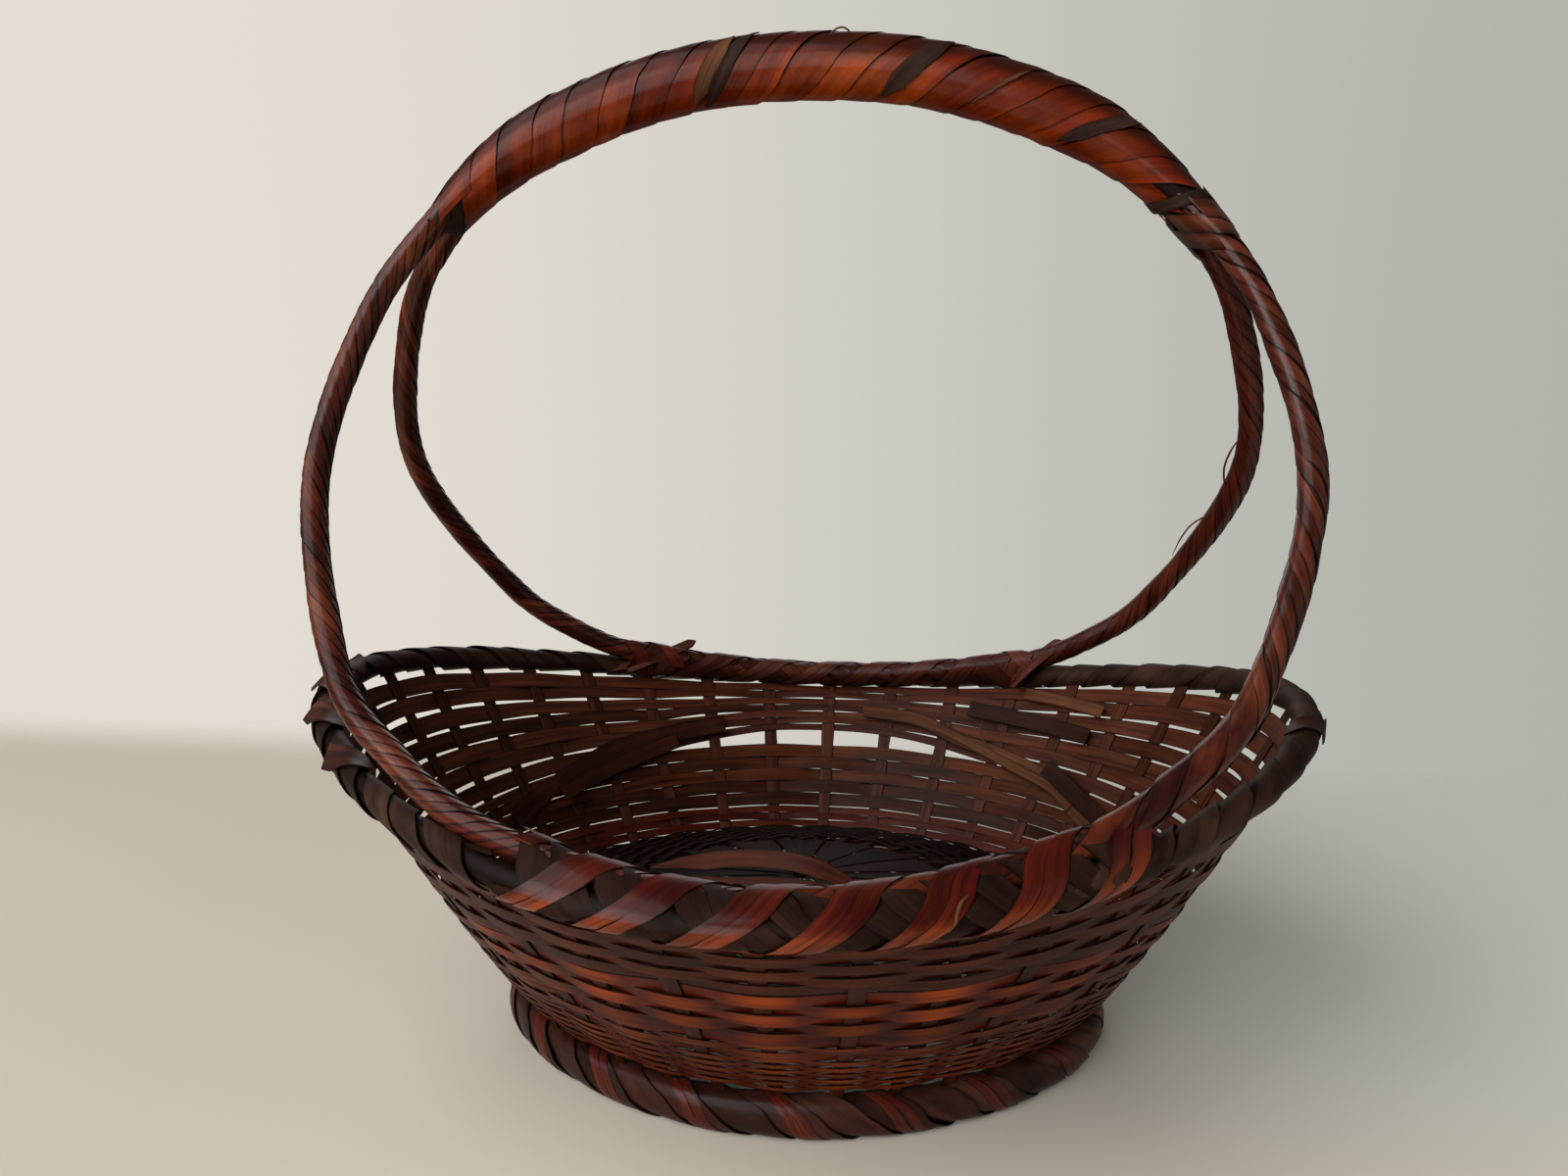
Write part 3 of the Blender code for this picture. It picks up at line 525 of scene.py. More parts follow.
# Sizes in split bamboo: a fibre's width in metres, patterns per metre along a strip and over the piece,
# bands per strip across it, and how far from the middle of the body hands have rubbed it
splitGrain = {"fibreWidth": 0.00035, "fibresAlong": 28.0, "bandsAlong": 24.0, "bandsAcross": 2.4,
              "blotches": 24.0, "apart": 37.0, "relief": 0.0002, "heldTo": 0.045, "leftFrom": 0.115,
              # colour of the painted shade in the gaps beside a strip's edges
              "gapShadeColour": "#0e0604"}


# Materials: split bamboo, soaked, laid wet and then lacquered or stained.
# The fibres are about 0.35 mm wide and run the length of a strip, so they stretch along the strip map.
def bambooMaterial(name, finish):
    material = bpy.data.materials.new(name)
    material.use_nodes = True
    tree = material.node_tree
    shader = tree.nodes["Principled BSDF"]
    uvMap = addNode(tree, "ShaderNodeUVMap", {"uv_map": "stripMap"})
    shade, swell, face = [addNode(tree, "ShaderNodeAttribute", {"attribute_name": label})
                          for label in ("stripShade", "stripSwell", "profileY")]
    place = addNode(tree, "ShaderNodeTexCoord")
    apart = addNode(tree, "ShaderNodeMath", {"operation": "MULTIPLY"}, {
        0: shade.outputs["Fac"], 1: splitGrain["apart"]})
    shift = addNode(tree, "ShaderNodeCombineXYZ", {}, {0: apart, 1: apart, 2: apart})
    fibreAt = addNode(tree, "ShaderNodeMapping", {}, {
        "Vector": uvMap, "Location": shift,
        "Scale": (splitGrain["fibresAlong"], finish["width"] / splitGrain["fibreWidth"], 1.0)})
    fibres = addNode(tree, "ShaderNodeTexNoise", {"noise_dimensions": "3D"}, {
        "Vector": fibreAt, "Scale": 1.0, "Detail": 4.0, "Roughness": 0.6})
    bandAt = addNode(tree, "ShaderNodeMapping", {}, {
        "Vector": uvMap, "Location": shift,
        "Scale": (splitGrain["bandsAlong"], splitGrain["bandsAcross"], 1.0)})
    bands = addNode(tree, "ShaderNodeTexNoise", {"noise_dimensions": "3D"}, {
        "Vector": bandAt, "Scale": 1.0, "Detail": 3.0, "Roughness": 0.55})
    blotches = addNode(tree, "ShaderNodeTexNoise", {"noise_dimensions": "3D"}, {
        "Vector": place.outputs["Object"], "Scale": splitGrain["blotches"], "Detail": 4.0, "Roughness": 0.6})
    fibreShare, bandShare = [addNode(tree, "ShaderNodeMapRange", {}, {
        "Value": grain, "From Min": 0.31, "From Max": 0.69}) for grain in (fibres, bands)]
    tone = addNode(tree, "ShaderNodeMath", {"operation": "MULTIPLY"}, {0: fibreShare, 1: finish["fibre"]})
    streak = addNode(tree, "ShaderNodeMath", {"operation": "MULTIPLY_ADD", "use_clamp": True}, {
        0: bandShare, 1: finish["band"], 2: tone})
    # the inner face of the weave has had less lacquer than the outer one
    outer = addNode(tree, "ShaderNodeMapRange", {}, {
        "Value": face.outputs["Fac"], "From Min": -0.4, "From Max": 0.4})
    lit = addNode(tree, "ShaderNodeMix", {"data_type": "RGBA"}, {
        "Factor": outer, 6: hexColour(finish["inner"]), 7: hexColour(finish["base"])})
    body = addNode(tree, "ShaderNodeMix", {"data_type": "RGBA"}, {
        "Factor": streak, 6: hexColour(finish["dark"]), 7: lit.outputs[2]})
    # worn where a strip bows outwards and in blotches, where the coat is thin over pale bamboo
    bowed = addNode(tree, "ShaderNodeMapRange", {}, {
        "Value": swell.outputs["Fac"], "From Min": 0.25, "From Max": 1.0, "To Max": finish["bowWear"]})
    # and less towards the ends of the body, which hands don't reach
    spot = addNode(tree, "ShaderNodeSeparateXYZ", {}, {0: place.outputs["Object"]})
    aside = addNode(tree, "ShaderNodeMath", {"operation": "ABSOLUTE"}, {0: spot})
    reached = addNode(tree, "ShaderNodeMapRange", {"interpolation_type": "SMOOTHSTEP"}, {
        "Value": aside, "From Min": splitGrain["heldTo"], "From Max": splitGrain["leftFrom"],
        "To Min": 1.0, "To Max": 1.0 - finish["bowFade"]})
    outerBow = addNode(tree, "ShaderNodeMath", {"operation": "MULTIPLY"}, {0: bowed, 1: outer})
    shown = addNode(tree, "ShaderNodeMath", {"operation": "MULTIPLY"}, {0: outerBow, 1: reached})
    patch = addNode(tree, "ShaderNodeMapRange", {}, {
        "Value": blotches, "From Min": 0.46, "From Max": 0.72, "To Max": finish["patchWear"]})
    # the rim's bands are lighter on the side that slopes out and down: rubbed wear, and a painted highlight
    # where that side faces the lamps
    slope = addNode(tree, "ShaderNodeSeparateXYZ", {}, {0: place.outputs["Normal"]})
    lowSideRubAndHighlight = addNode(tree, "ShaderNodeMapRange", {"interpolation_type": "SMOOTHSTEP"}, {
        "Value": slope.outputs[2], "From Min": 0.65, "From Max": 0.0, "To Max": finish["lowWear"]})
    handledAndHighlight = addNode(tree, "ShaderNodeMath", {"operation": "ADD"}, {0: shown, 1: lowSideRubAndHighlight})
    wearAndHighlightSum = addNode(tree, "ShaderNodeMath", {"operation": "ADD"}, {0: handledAndHighlight, 1: patch})
    wearAndHighlightStreak = addNode(tree, "ShaderNodeMath", {"operation": "MULTIPLY_ADD"}, {
        0: bandShare, 1: 0.9, 2: 0.3})
    wearAndHighlight = addNode(tree, "ShaderNodeMath", {"operation": "MULTIPLY", "use_clamp": True}, {
        0: wearAndHighlightSum, 1: wearAndHighlightStreak})
    rubbedAndHighlight = addNode(tree, "ShaderNodeMix", {"data_type": "RGBA"}, {
        "Factor": wearAndHighlight, 6: body.outputs[2], 7: hexColour(finish["wearAndHighlight"])})
    # darker on the outer crown of the handle: painted shade where the top faces away from the lamps, and a
    # darker stain there
    crownAt = addNode(tree, "ShaderNodeMath", {"operation": "MULTIPLY_ADD"}, {
        0: blotches, 1: 1.6, 2: swell.outputs["Fac"]})
    crown = addNode(tree, "ShaderNodeMapRange", {"interpolation_type": "SMOOTHSTEP"}, {
        "Value": crownAt, "From Min": 0.85, "From Max": 1.45, "To Max": finish["crown"]})
    topShaded = addNode(tree, "ShaderNodeMix", {"data_type": "RGBA"}, {
        "Factor": crown, 6: rubbedAndHighlight.outputs[2], 7: hexColour(finish["dark"])})
    # each strip was split and stained by itself, so its depth of colour differs
    depth = addNode(tree, "ShaderNodeMapRange", {}, {
        "Value": shade.outputs["Fac"], "To Min": 1.0 - finish["vary"], "To Max": 1.0 + finish["vary"] * 0.8})
    varied = addNode(tree, "ShaderNodeVectorMath", {"operation": "SCALE"}, {
        0: topShaded.outputs[2], "Scale": depth})
    # painted shade beside a strip's edges, where the gaps between strips lie
    split = addNode(tree, "ShaderNodeSeparateXYZ", {}, {0: uvMap})
    middle = addNode(tree, "ShaderNodeMath", {"operation": "SUBTRACT"}, {0: split.outputs[1], 1: 0.5})
    reach = addNode(tree, "ShaderNodeMath", {"operation": "ABSOLUTE"}, {0: middle})
    edge = addNode(tree, "ShaderNodeMapRange", {"interpolation_type": "SMOOTHSTEP"}, {
        "Value": reach, "From Min": 0.5 - finish["edge"], "From Max": 0.5, "To Max": finish["edgeStain"]})
    edgeShaded = addNode(tree, "ShaderNodeMix", {"data_type": "RGBA"}, {
        "Factor": edge, 6: varied, 7: hexColour(splitGrain["gapShadeColour"])})
    tree.links.new(edgeShaded.outputs[2], shader.inputs["Base Color"])
    roughBase = addNode(tree, "ShaderNodeMapRange", {}, {
        "Value": fibres, "From Min": 0.3, "From Max": 0.7,
        "To Min": finish["roughness"] - 0.08, "To Max": finish["roughness"] + 0.1})
    rough = addNode(tree, "ShaderNodeMath", {"operation": "MULTIPLY_ADD", "use_clamp": True}, {
        0: wearAndHighlight, 1: 0.12, 2: roughBase})
    tree.links.new(rough.outputs[0], shader.inputs["Roughness"])
    shader.inputs["IOR"].default_value = 1.5
    shader.inputs["Specular IOR Level"].default_value = finish["specular"]
    shader.inputs["Coat Weight"].default_value = finish["coat"]
    shader.inputs["Coat Roughness"].default_value = finish["coatRough"]
    bump = addNode(tree, "ShaderNodeBump", {}, {
        "Height": fibres, "Strength": finish["bump"], "Distance": splitGrain["relief"]})
    tree.links.new(bump.outputs[0], shader.inputs["Normal"])
    return material


# What a look changes: strip width, fibres and bands, wear, a painted highlight on the low side, depth of the
# stain, painted shade along the top and at the edges, gloss
plain = {
    "width": 0.005, "fibre": 0.5, "band": 0.6, "bump": 0.5,
    "bowWear": 0.0, "bowFade": 0.0, "lowWear": 0.0, "patchWear": 0.22, "crown": 0.0,
    "vary": 0.35, "edge": 0.08, "edgeStain": 0.75,
    "roughness": 0.42, "specular": 0.07, "coat": 0.03, "coatRough": 0.25,
}


def look(base, dark, wearAndHighlight, **changes):
    return {**plain, "base": base, "inner": base, "dark": dark, "wearAndHighlight": wearAndHighlight, **changes}


looks = {
    # top of the handle: broad glossy strips, clear red-brown lacquer over honey bamboo, with painted shade
    # and a darker stain along the top
    "handleLacquer": look("#762306", "#290904", "#b8520e", width=0.0125, patchWear=0.5, roughness=0.36,
                          coat=0.22, coatRough=0.2, edge=0.035, edgeStain=0.95, vary=0.6, crown=0.9),
    # legs: narrow strips in a darker coat of the same lacquer
    "legLacquer": look("#541d11", "#1d0906", "#8f4f31", width=0.0035, patchWear=0.5, roughness=0.34,
                       coat=0.4, coatRough=0.18, edge=0.14, edgeStain=0.95, vary=0.5),
    # the broad strips low on the right leg: the same coat, gone darker; for the rear right leg a darker copy
    # of the leg lacquer, as painted shade
    "broadLacquer": look("#46160e", "#170604", "#8c4420", width=0.006, patchWear=0.6, roughness=0.36,
                         coat=0.3, coatRough=0.2, edge=0.08, edgeStain=0.95, vary=0.4),
    "paintedShadeLacquer": look("#46180f", "#180604", "#713723", width=0.0035, patchWear=0.35, roughness=0.38,
                         coat=0.25, coatRough=0.2, edge=0.14, edgeStain=0.95, vary=0.4),
    # front rim: glossy bands, rubbed towards dry bamboo on the side that slopes down, and lighter there as a
    # painted highlight
    "rimLacquer": look("#4c0c06", "#190402", "#a0461c", width=0.0045, patchWear=0.2, lowWear=0.5,
                       roughness=0.34, coat=0.3, coatRough=0.2, edge=0.07, vary=0.35),
    # rim ends, foot and the rim under the bands: matt strips of the outer skin, gone grey
    "bandCane": look("#2b1710", "#0d0503", "#54372a", width=0.014, patchWear=0.35, roughness=0.54,
                     coat=0.02, edge=0.05),
    "mattCane": look("#35221a", "#130a07", "#634536", width=0.014, patchWear=0.4, roughness=0.54,
                     coat=0.02, edge=0.04),
    "footCane": look("#43221a", "#130705", "#744b39", width=0.014, patchWear=0.4, roughness=0.42,
                     coat=0.12, edge=0.06, vary=0.5),
    # rear rim and its joints: the same strips with some of their coat left
    "rearCane": look("#54261b", "#180906", "#8a5040", width=0.006, roughness=0.42, coat=0.12, edge=0.07,
                     vary=0.5),
    "rearBand": look("#5e2f23", "#1c0a07", "#9a6651", width=0.006, roughness=0.38, coat=0.16, edge=0.12,
                     edgeStain=0.95, vary=0.5),
    # lower wall: satin stain worn orange on every bow
    "lowerWeave": look("#54180b", "#1c0703", "#98400f", width=0.0055, inner="#4b2512", bowWear=0.6,
                       bowFade=0.7, patchWear=0.15, roughness=0.42, vary=0.5),
    "upperWeave": look("#47190e", "#1b0905", "#783f23", width=0.004, inner="#592e1d", bowWear=0.15,
                       roughness=0.46, vary=0.5),
    "skirtWeave": look("#54190c", "#220a05", "#93491f", width=0.0024, bowWear=0.3, bowFade=0.7,
                       roughness=0.44),
    "stakeStain": look("#36160c", "#150804", "#743e24", width=0.0065, inner="#50291b", roughness=0.46),
    "floorStain": look("#261711", "#0e0705", "#4a3226", width=0.01, roughness=0.5),
    "footBinding": look("#652116", "#290c07", "#9a5840", width=0.0035, roughness=0.38, coat=0.25),
    # loose strips whose stained skin has split off
    "paleSplint": look("#69422b", "#32190f", "#946540", width=0.005, roughness=0.6, coat=0.0, edge=0.12),
    "redSplint": look("#5b2c1e", "#28110b", "#8d5640", width=0.006, roughness=0.45),
}
bamboo = {name: bambooMaterial(name, settings) for name, settings in looks.items()}
print("materials", len(bamboo))

stripProfile = stripProfileTree()
winding = windingTree(stripProfile)
wovenRow = wovenRowTree(stripProfile)

# What a winding is where its own settings say nothing else
plainWinding = {"hand": 1, "spread": 1.0, "first": 0.0, "scatter": 0.0, "standOff": 0.0, "rise": 0.0,
                "tilt": 0.0, "square": 1.0}


# Windings: stations are (centre, half axis out, half axis up); a pitch is what one strip climbs in a turn
def wind(name, stations, changes, material):
    settings = {**plainWinding, **changes}
    pitch = settings["pitch"]
    length = sum((b[0] - a[0]).length for a, b in zip(stations, stations[1:]))
    rails = [([s[0] for s in stations], False, {
        "coreOut": [s[1] for s in stations], "coreUp": [s[2] for s in stations]})]
    return runTree(name, rails, winding, {
        "Strips": settings["strips"], "Turns": length / pitch * settings["hand"],
        "Width": pitch * settings["spread"] / settings["strips"] * settings["fill"],
        "Thickness": settings["thickness"], "Stand Off": settings["standOff"],
        "Samples": int(length / pitch * settings["samples"]) + 4,
        "Wobble": settings["wobble"], "Uneven": settings["uneven"], "Rise": settings["rise"],
        "Tilt": settings["tilt"], "Squareness": settings["square"], "First": settings["first"],
        "Spread": settings["spread"], "Scatter": settings["scatter"], "Seed": settings["seed"],
        "Material": material})


def joinPieces(name, pieces):
    bm = bmesh.new()
    mesh = bpy.data.meshes.new(name)
    for piece in pieces:
        material = piece.data.materials[0]
        if material.name not in mesh.materials:
            mesh.materials.append(material)
        first = len(bm.faces)
        bm.from_mesh(piece.data)
        bm.faces.ensure_lookup_table()
        for face in bm.faces[first:]:
            face.material_index = mesh.materials.find(material.name)
    bm.to_mesh(mesh)
    bm.free()
    for piece in pieces:
        bpy.data.objects.remove(piece, do_unlink=True)
    return addObject(name, mesh)


# Plain dark core under a winding, seen only through its gaps
def coreTube(name, stations, sides, material, shrink):
    bm = bmesh.new()
    mapLayer = bm.loops.layers.uv.new("stripMap")
    rings = []
    for centre, out, up in stations:
        ring = []
        for k in range(sides):
            turn = math.tau * k / sides
            radial = out * (shrink * math.cos(turn)) + up * (shrink * math.sin(turn))
            ring.append(bm.verts.new(centre + radial))
        rings.append(ring)
    at = 0.0
    for s, (near, far) in enumerate(zip(rings, rings[1:])):
        step = (stations[s + 1][0] - stations[s][0]).length
        for k in range(sides):
            n = (k + 1) % sides
            face = bm.faces.new((near[k], near[n], far[n], far[k]))
            face.smooth = True
            for loop, (u, v) in zip(face.loops, ((at, k), (at, k + 1), (at + step, k + 1), (at + step, k))):
                loop[mapLayer].uv = (u, v / sides)
        at += step
    bm.faces.new(rings[0])
    bm.faces.new(rings[-1])
    bmesh.ops.recalc_face_normals(bm, faces=bm.faces)
    mesh = bpy.data.meshes.new(name)
    bm.to_mesh(mesh)
    bm.free()
    mesh.materials.append(material)
    return addObject(name, mesh)


def sideOf(point, side):
    return Vector((point.x, point.y * side, point.z))


# Handle legs: both hoops below the fork, bumpy where a strip end lies under the others
legs = {"coreRadius": 0.0041, "lump": 0.1, "lumpsPerMetre": 45.0, "forkKnot": 2.55}
narrow = {"pitch": 0.050, "strips": 8, "fill": 1.12, "thickness": 0.0005, "samples": 40, "wobble": 0.07,
          "uneven": 0.35, "rise": 0.0005, "tilt": 0.00022, "scatter": 0.35, "hand": -1}
broad = {**narrow, "pitch": 0.060, "strips": 3, "tilt": 0.0005, "standOff": 0.0003, "samples": 44}
# each run is (from and to as shares of the leg, winding, look)
legWindings = {
    "frontLeftLeg": {"face": -1, "end": -1, "seed": 11, "nodes": ["front_hoop"], "runs": (
        (0.0, 1.0, narrow, "legLacquer"),)},
    "frontRightLeg": {"face": -1, "end": 1, "seed": 12, "nodes": [], "runs": (
        (0.0, 0.44, {**narrow, "strips": 6}, "legLacquer"), (0.38, 1.0, broad, "broadLacquer"))},
    "rearLeftLeg": {"face": 1, "end": -1, "seed": 13, "nodes": ["rear_hoop"], "runs": (
        (0.0, 1.0, narrow, "legLacquer"),)},
    # the rear right leg is wound in the darker copy of the leg lacquer: painted shade
    "rearRightLeg": {"face": 1, "end": 1, "seed": 14, "nodes": [], "runs": (
        (0.0, 1.0, {**narrow, "strips": 7}, "paintedShadeLacquer"),)},
}


# Stations along a run of points, with round sections
def roundStations(points, radius, seed):
    stations = []
    for k, point in enumerate(points):
        along = (points[min(k + 1, len(points) - 1)] - points[max(k - 1, 0)]).normalized()
        out = Vector((point.x, 0.0, point.z - hoop["centreHeight"]))
        out = (out - along * out.dot(along)).normalized()
        bump = noise.noise(point * legs["lumpsPerMetre"] + Vector((seed, 0.0, 0.0)))
        lump = radius * (1.0 + legs["lump"] * bump)
        stations.append((point, out * lump, along.cross(out) * lump))
    return stations


fork = int(hoop["stepsPerKnot"] * legs["forkKnot"])
rightRun = hoopRoute[fork:len(hoopRoute) // 2 + 1]
for name, settings in legWindings.items():
    points = [Vector((p.x * settings["end"], p.y * settings["face"], p.z)) for p in rightRun]
    stations = roundStations(points, legs["coreRadius"], settings["seed"])
    core = coreTube(name + "Core", stations, 12, bamboo["stakeStain"], 0.98)
    finishPiece(core)
    last = len(stations) - 1
    pieces = []
    for start, end, strips, lookName in settings["runs"]:
        stretch = stations[int(start * last):int(end * last) + 1]
        pieces.append(wind("run", stretch, {**strips, "seed": settings["seed"]}, bamboo[lookName]))
    finishPiece(joinPieces(name + "Strips", pieces), settings["nodes"])
print("legs done")

# Top of the handle: the arch with both hoops and the rods inside,
# thinner from taperFrom to its reach, both in degrees from the top
arch = {"reach": 56.0, "halfHeight": 0.0108, "halfDepth": 0.0100, "endShare": 0.6, "taperFrom": 38.0,
        "depthRate": 1.5, "hoopRoom": 0.0050, "steps": 160}
handleStrips = {"pitch": 0.0565, "strips": 4, "fill": 1.14, "thickness": 0.0006, "samples": 48,
                "wobble": 0.08, "uneven": 0.2, "rise": 0.0007, "tilt": 0.0003, "scatter": 0.3, "seed": 5}
topRoute = hoopRoute[:200] + hoopRoute[-200:]


def archStations(reachFrom, reachTo, steps, grow=0.0):
    stations = []
    for k in range(steps + 1):
        turn = math.radians(mix(reachFrom, reachTo, k / steps))
        near = min(topRoute, key=lambda p: abs(math.atan2(p.x, p.z - hoop["centreHeight"]) - turn))
        radius = math.hypot(near.x, near.z - hoop["centreHeight"])
        out = Vector((math.sin(turn), 0.0, math.cos(turn)))
        past = max(0.0, (abs(math.degrees(turn)) - arch["taperFrom"]) / (arch["reach"] - arch["taperFrom"]))
        height = mix(arch["halfHeight"], arch["halfHeight"] * arch["endShare"], past) + grow
        depth = mix(arch["halfDepth"], near.y + arch["hoopRoom"], min(past * arch["depthRate"], 1.0)) + grow
        centre = Vector((0.0, 0.0, hoop["centreHeight"])) + out * radius
        stations.append((centre, out * height, Vector((0.0, depth, 0.0))))
    return stations


stations = archStations(-arch["reach"], arch["reach"], arch["steps"])
core = coreTube("handleCore", stations, 16, bamboo["mattCane"], 0.985)
finishPiece(core, ["handle_rod_upper", "handle_rod_lower"])
piece = wind("handleStrips", stations, handleStrips, bamboo["handleLacquer"])
finishPiece(piece, ["handle_wrap_%d" % (k + 1) for k in range(4)])

# Matt slips of skin in the turns, pointed at both ends: (degrees, width, length in degrees of a turn, shade)
slips = {
    "paleSlips": ("paleSplint", ((-12.6, 0.0062, 120.0, 0.9), (27.0, 0.0016, 80.0, 0.5))),
    "greySlips": ("mattCane", (
        (-10.4, 0.0050, 150.0, 0.8), (15.5, 0.0066, 125.0, 0.6), (40.5, 0.0046, 110.0, 0.7))),
}
slipForm = {"steps": 20, "frontTurn": 270.0, "archRadius": 0.148, "standOff": 0.0010, "tipShare": 0.15,
            "tipSteps": 6.0, "thickness": 0.0005}


def slipStations(degrees, width, length):
    steps, front = slipForm["steps"], slipForm["frontTurn"]
    climb = math.degrees(handleStrips["pitch"] / slipForm["archRadius"])
    places, normals = [], []
    for s in range(steps + 1):
        turn = mix(front - length / 2.0, front + length / 2.0, s / steps)
        reach = degrees + (turn - front) / 360.0 * climb
        centre, outArm, depthArm = archStations(reach, reach, 1, slipForm["standOff"])[0]
        radial = outArm * math.cos(math.radians(turn)) + depthArm * math.sin(math.radians(turn))
        places.append(centre + radial)
        normals.append(radial.normalized())
    stations = []
    for s, (place, normal) in enumerate(zip(places, normals)):
        way = (places[min(s + 1, steps)] - places[max(s - 1, 0)]).normalized()
        taper = min(1.0, slipForm["tipShare"] + min(s, steps - s) / slipForm["tipSteps"])
        stations.append((place, way.cross(normal).normalized() * (width / 2.0 * taper), normal))
    return stations


for name, (lookName, spots) in slips.items():
    strips = [(slipStations(degrees, width, length), shade) for degrees, width, length, shade in spots]
    finishPiece(laidStrips(name, strips, bamboo[lookName], slipForm["thickness"]))


# Draws the ends of a run in to a share of their size, which hides the cut ends of its strips
def drawIn(stations, share, steps, atStart):
    last = len(stations) - 1
    drawn = []
    for k, (centre, out, up) in enumerate(stations):
        inside = min(k, last - k) if atStart else last - k
        size = min(1.0, mix(share, 1.0, inside / steps))
        drawn.append((centre, out * size, up * size))
    return drawn


# Two narrow turns hold the right fork, each (from in degrees, width as a share of the pitch)
forkTurn = {"pitch": 0.019, "strips": 1, "thickness": 0.0005, "samples": 44, "wobble": 0.1, "uneven": 0.2,
            "tilt": 0.0002, "square": 0.9, "steps": 24, "grow": 0.0001, "endShare": 0.72, "endSteps": 5}
forkTurns = ((49.0, 0.20), (49.5, 0.14))
pieces = []
for n, (start, fill) in enumerate(forkTurns):
    stations = archStations(start, arch["reach"], forkTurn["steps"], forkTurn["grow"])
    stations = drawIn(stations, forkTurn["endShare"], forkTurn["endSteps"], True)
    turn = {**forkTurn, "fill": fill, "standOff": 0.0006 + 0.0003 * n, "seed": 70 + n}
    pieces.append(wind("forkTurn", stations, turn, bamboo["mattCane"]))
finishPiece(joinPieces("forkTurns", pieces))

# Past the right fork, narrow turns still hold both hoops together
forkBundle = {**narrow, "pitch": 0.040, "strips": 5, "hand": 1, "samples": 60, "seed": 75,
              "span": (53.5, 62.3), "steps": 30, "grow": 0.0012, "endShare": 0.84, "endSteps": 6}
stations = archStations(*forkBundle["span"], forkBundle["steps"], forkBundle["grow"])
stations = drawIn(stations, forkBundle["endShare"], forkBundle["endSteps"], False)
finishPiece(wind("forkBundle", stations, forkBundle, bamboo["legLacquer"]))
print("handle done")

# Rim: a round section at both ends, and a broad one where the hoop lies along it
rim = {"halfOut": 0.0043, "halfUp": 0.0044, "hoopRoom": 0.0046, "bundleUp": 0.0048, "lump": 0.06,
       "lumpsPerMetre": 35.0}


def rimStations(startAngle, endAngle, steps, side, bundled):
    stations = []
    for k in range(steps + 1):
        angle = math.radians(mix(startAngle, endAngle, k / steps))
        along, out, up = wallFrame(angle, 1.0)
        centre = wallPoint(angle, 1.0)
        halfOut, halfUp = rim["halfOut"], rim["halfUp"]
        if bundled:
            toHoop = seatPoint(angle) - centre
            centre = centre + toHoop * 0.5
            out = -toHoop.normalized()
            up = out.cross(along)
            halfOut = toHoop.length / 2.0 + rim["hoopRoom"]
            halfUp = rim["bundleUp"]
        lump = 1.0 + rim["lump"] * noise.noise(centre * rim["lumpsPerMetre"])
        arms = (sideOf(out, side) * (halfOut * lump), sideOf(up, side) * (halfUp * lump))
        stations.append((sideOf(centre, side), *arms))
    return stations


rimEnd = {"pitch": 0.036, "strips": 2, "fill": 0.98, "thickness": 0.0006, "samples": 34, "wobble": 0.14,
          "uneven": 0.55, "rise": 0.0010, "tilt": 0.0006, "scatter": 0.4, "square": 0.95}
rimEnds = ((-66.0, 66.0, 1), (114.0, 246.0, -1))  # from and to in degrees, hand
pieces = []
for k, (startAngle, endAngle, hand) in enumerate(rimEnds):
    stations = rimStations(startAngle, endAngle, 110, 1, False)
    pieces.append(wind("rimEnd", stations, {**rimEnd, "seed": 21 + k, "hand": hand}, bamboo["mattCane"]))
finishPiece(joinPieces("rimEndStrips", pieces))

# One darker turn over them at the front right
rimPatch = {**rimEnd, "pitch": 0.026, "strips": 1, "fill": 0.86, "standOff": 0.0020, "seed": 29}
piece = wind("rimPatch", rimStations(-49.0, -38.5, 24, 1, False), rimPatch, bamboo["floorStain"])
finishPiece(piece)

# Ends of those strips that stand off the outside of the rim, after a wrap that starts on top
rimTip = {"steps": 14, "from": -80.0, "wrapShare": 0.7, "slant": 0.016, "standOff": 0.0010, "rise": 0.0004,
          "ragged": 0.2, "thickness": 0.0006}
# (degrees, end of the wrap in degrees, loose length, width)
rimTips = (
    (192.0, 14.0, 0.0022, 0.011), (205.0, 8.0, 0.0024, 0.012), (218.0, 16.0, 0.0020, 0.011),
    (179.0, 20.0, 0.0018, 0.010), (-16.0, 60.0, 0.0010, 0.009),
)


def tipStations(k, angle, wrapEnd, loose, width):
    along, out, up = wallFrame(angle, 1.0)
    slant = along * math.copysign(rimTip["slant"], math.cos(angle))
    stations = []
    for s in range(rimTip["steps"] + 1):
        share = s / rimTip["steps"]
        turn = math.radians(mix(rimTip["from"], wrapEnd, min(share / rimTip["wrapShare"], 1.0)))
        beyond = max(share - rimTip["wrapShare"], 0.0) / (1.0 - rimTip["wrapShare"])
        radial = up * math.cos(turn) + out * math.sin(turn)
        tangent = out * math.cos(turn) - up * math.sin(turn)
        radius = rim["halfOut"] + rimTip["standOff"] + rimTip["rise"] * share
        point = wallPoint(angle, 1.0) + radial * radius + tangent * (loose * beyond) + slant * (share - 0.5)
        way = (tangent * rimTip["slant"] + slant).normalized()
        ragged = 1.0 - rimTip["ragged"] * beyond * (1.0 + math.sin(k * 2.7))
        stations.append((point, way.cross(radial).normalized() * (width / 2.0 * ragged), radial))
    return stations


strips = []
for k, (degrees, wrapEnd, loose, width) in enumerate(rimTips):
    # the tips at the left end get the lightest tone: painted light, as they face away from the lamps
    shade = 1.0 if abs(degrees) > 90.0 else 0.3
    strips.append((tipStations(k, math.radians(degrees), wrapEnd, loose, width), shade))
piece = laidStrips("rimTips", strips, bamboo["footCane"], rimTip["thickness"])
finishPiece(piece)
core = coreTube("rimCore", rimStations(0.0, 360.0, 180, 1, False), 16, bamboo["floorStain"], 0.96)
finishPiece(core, ["rim_hoop_outer", "rim_hoop_inner"])

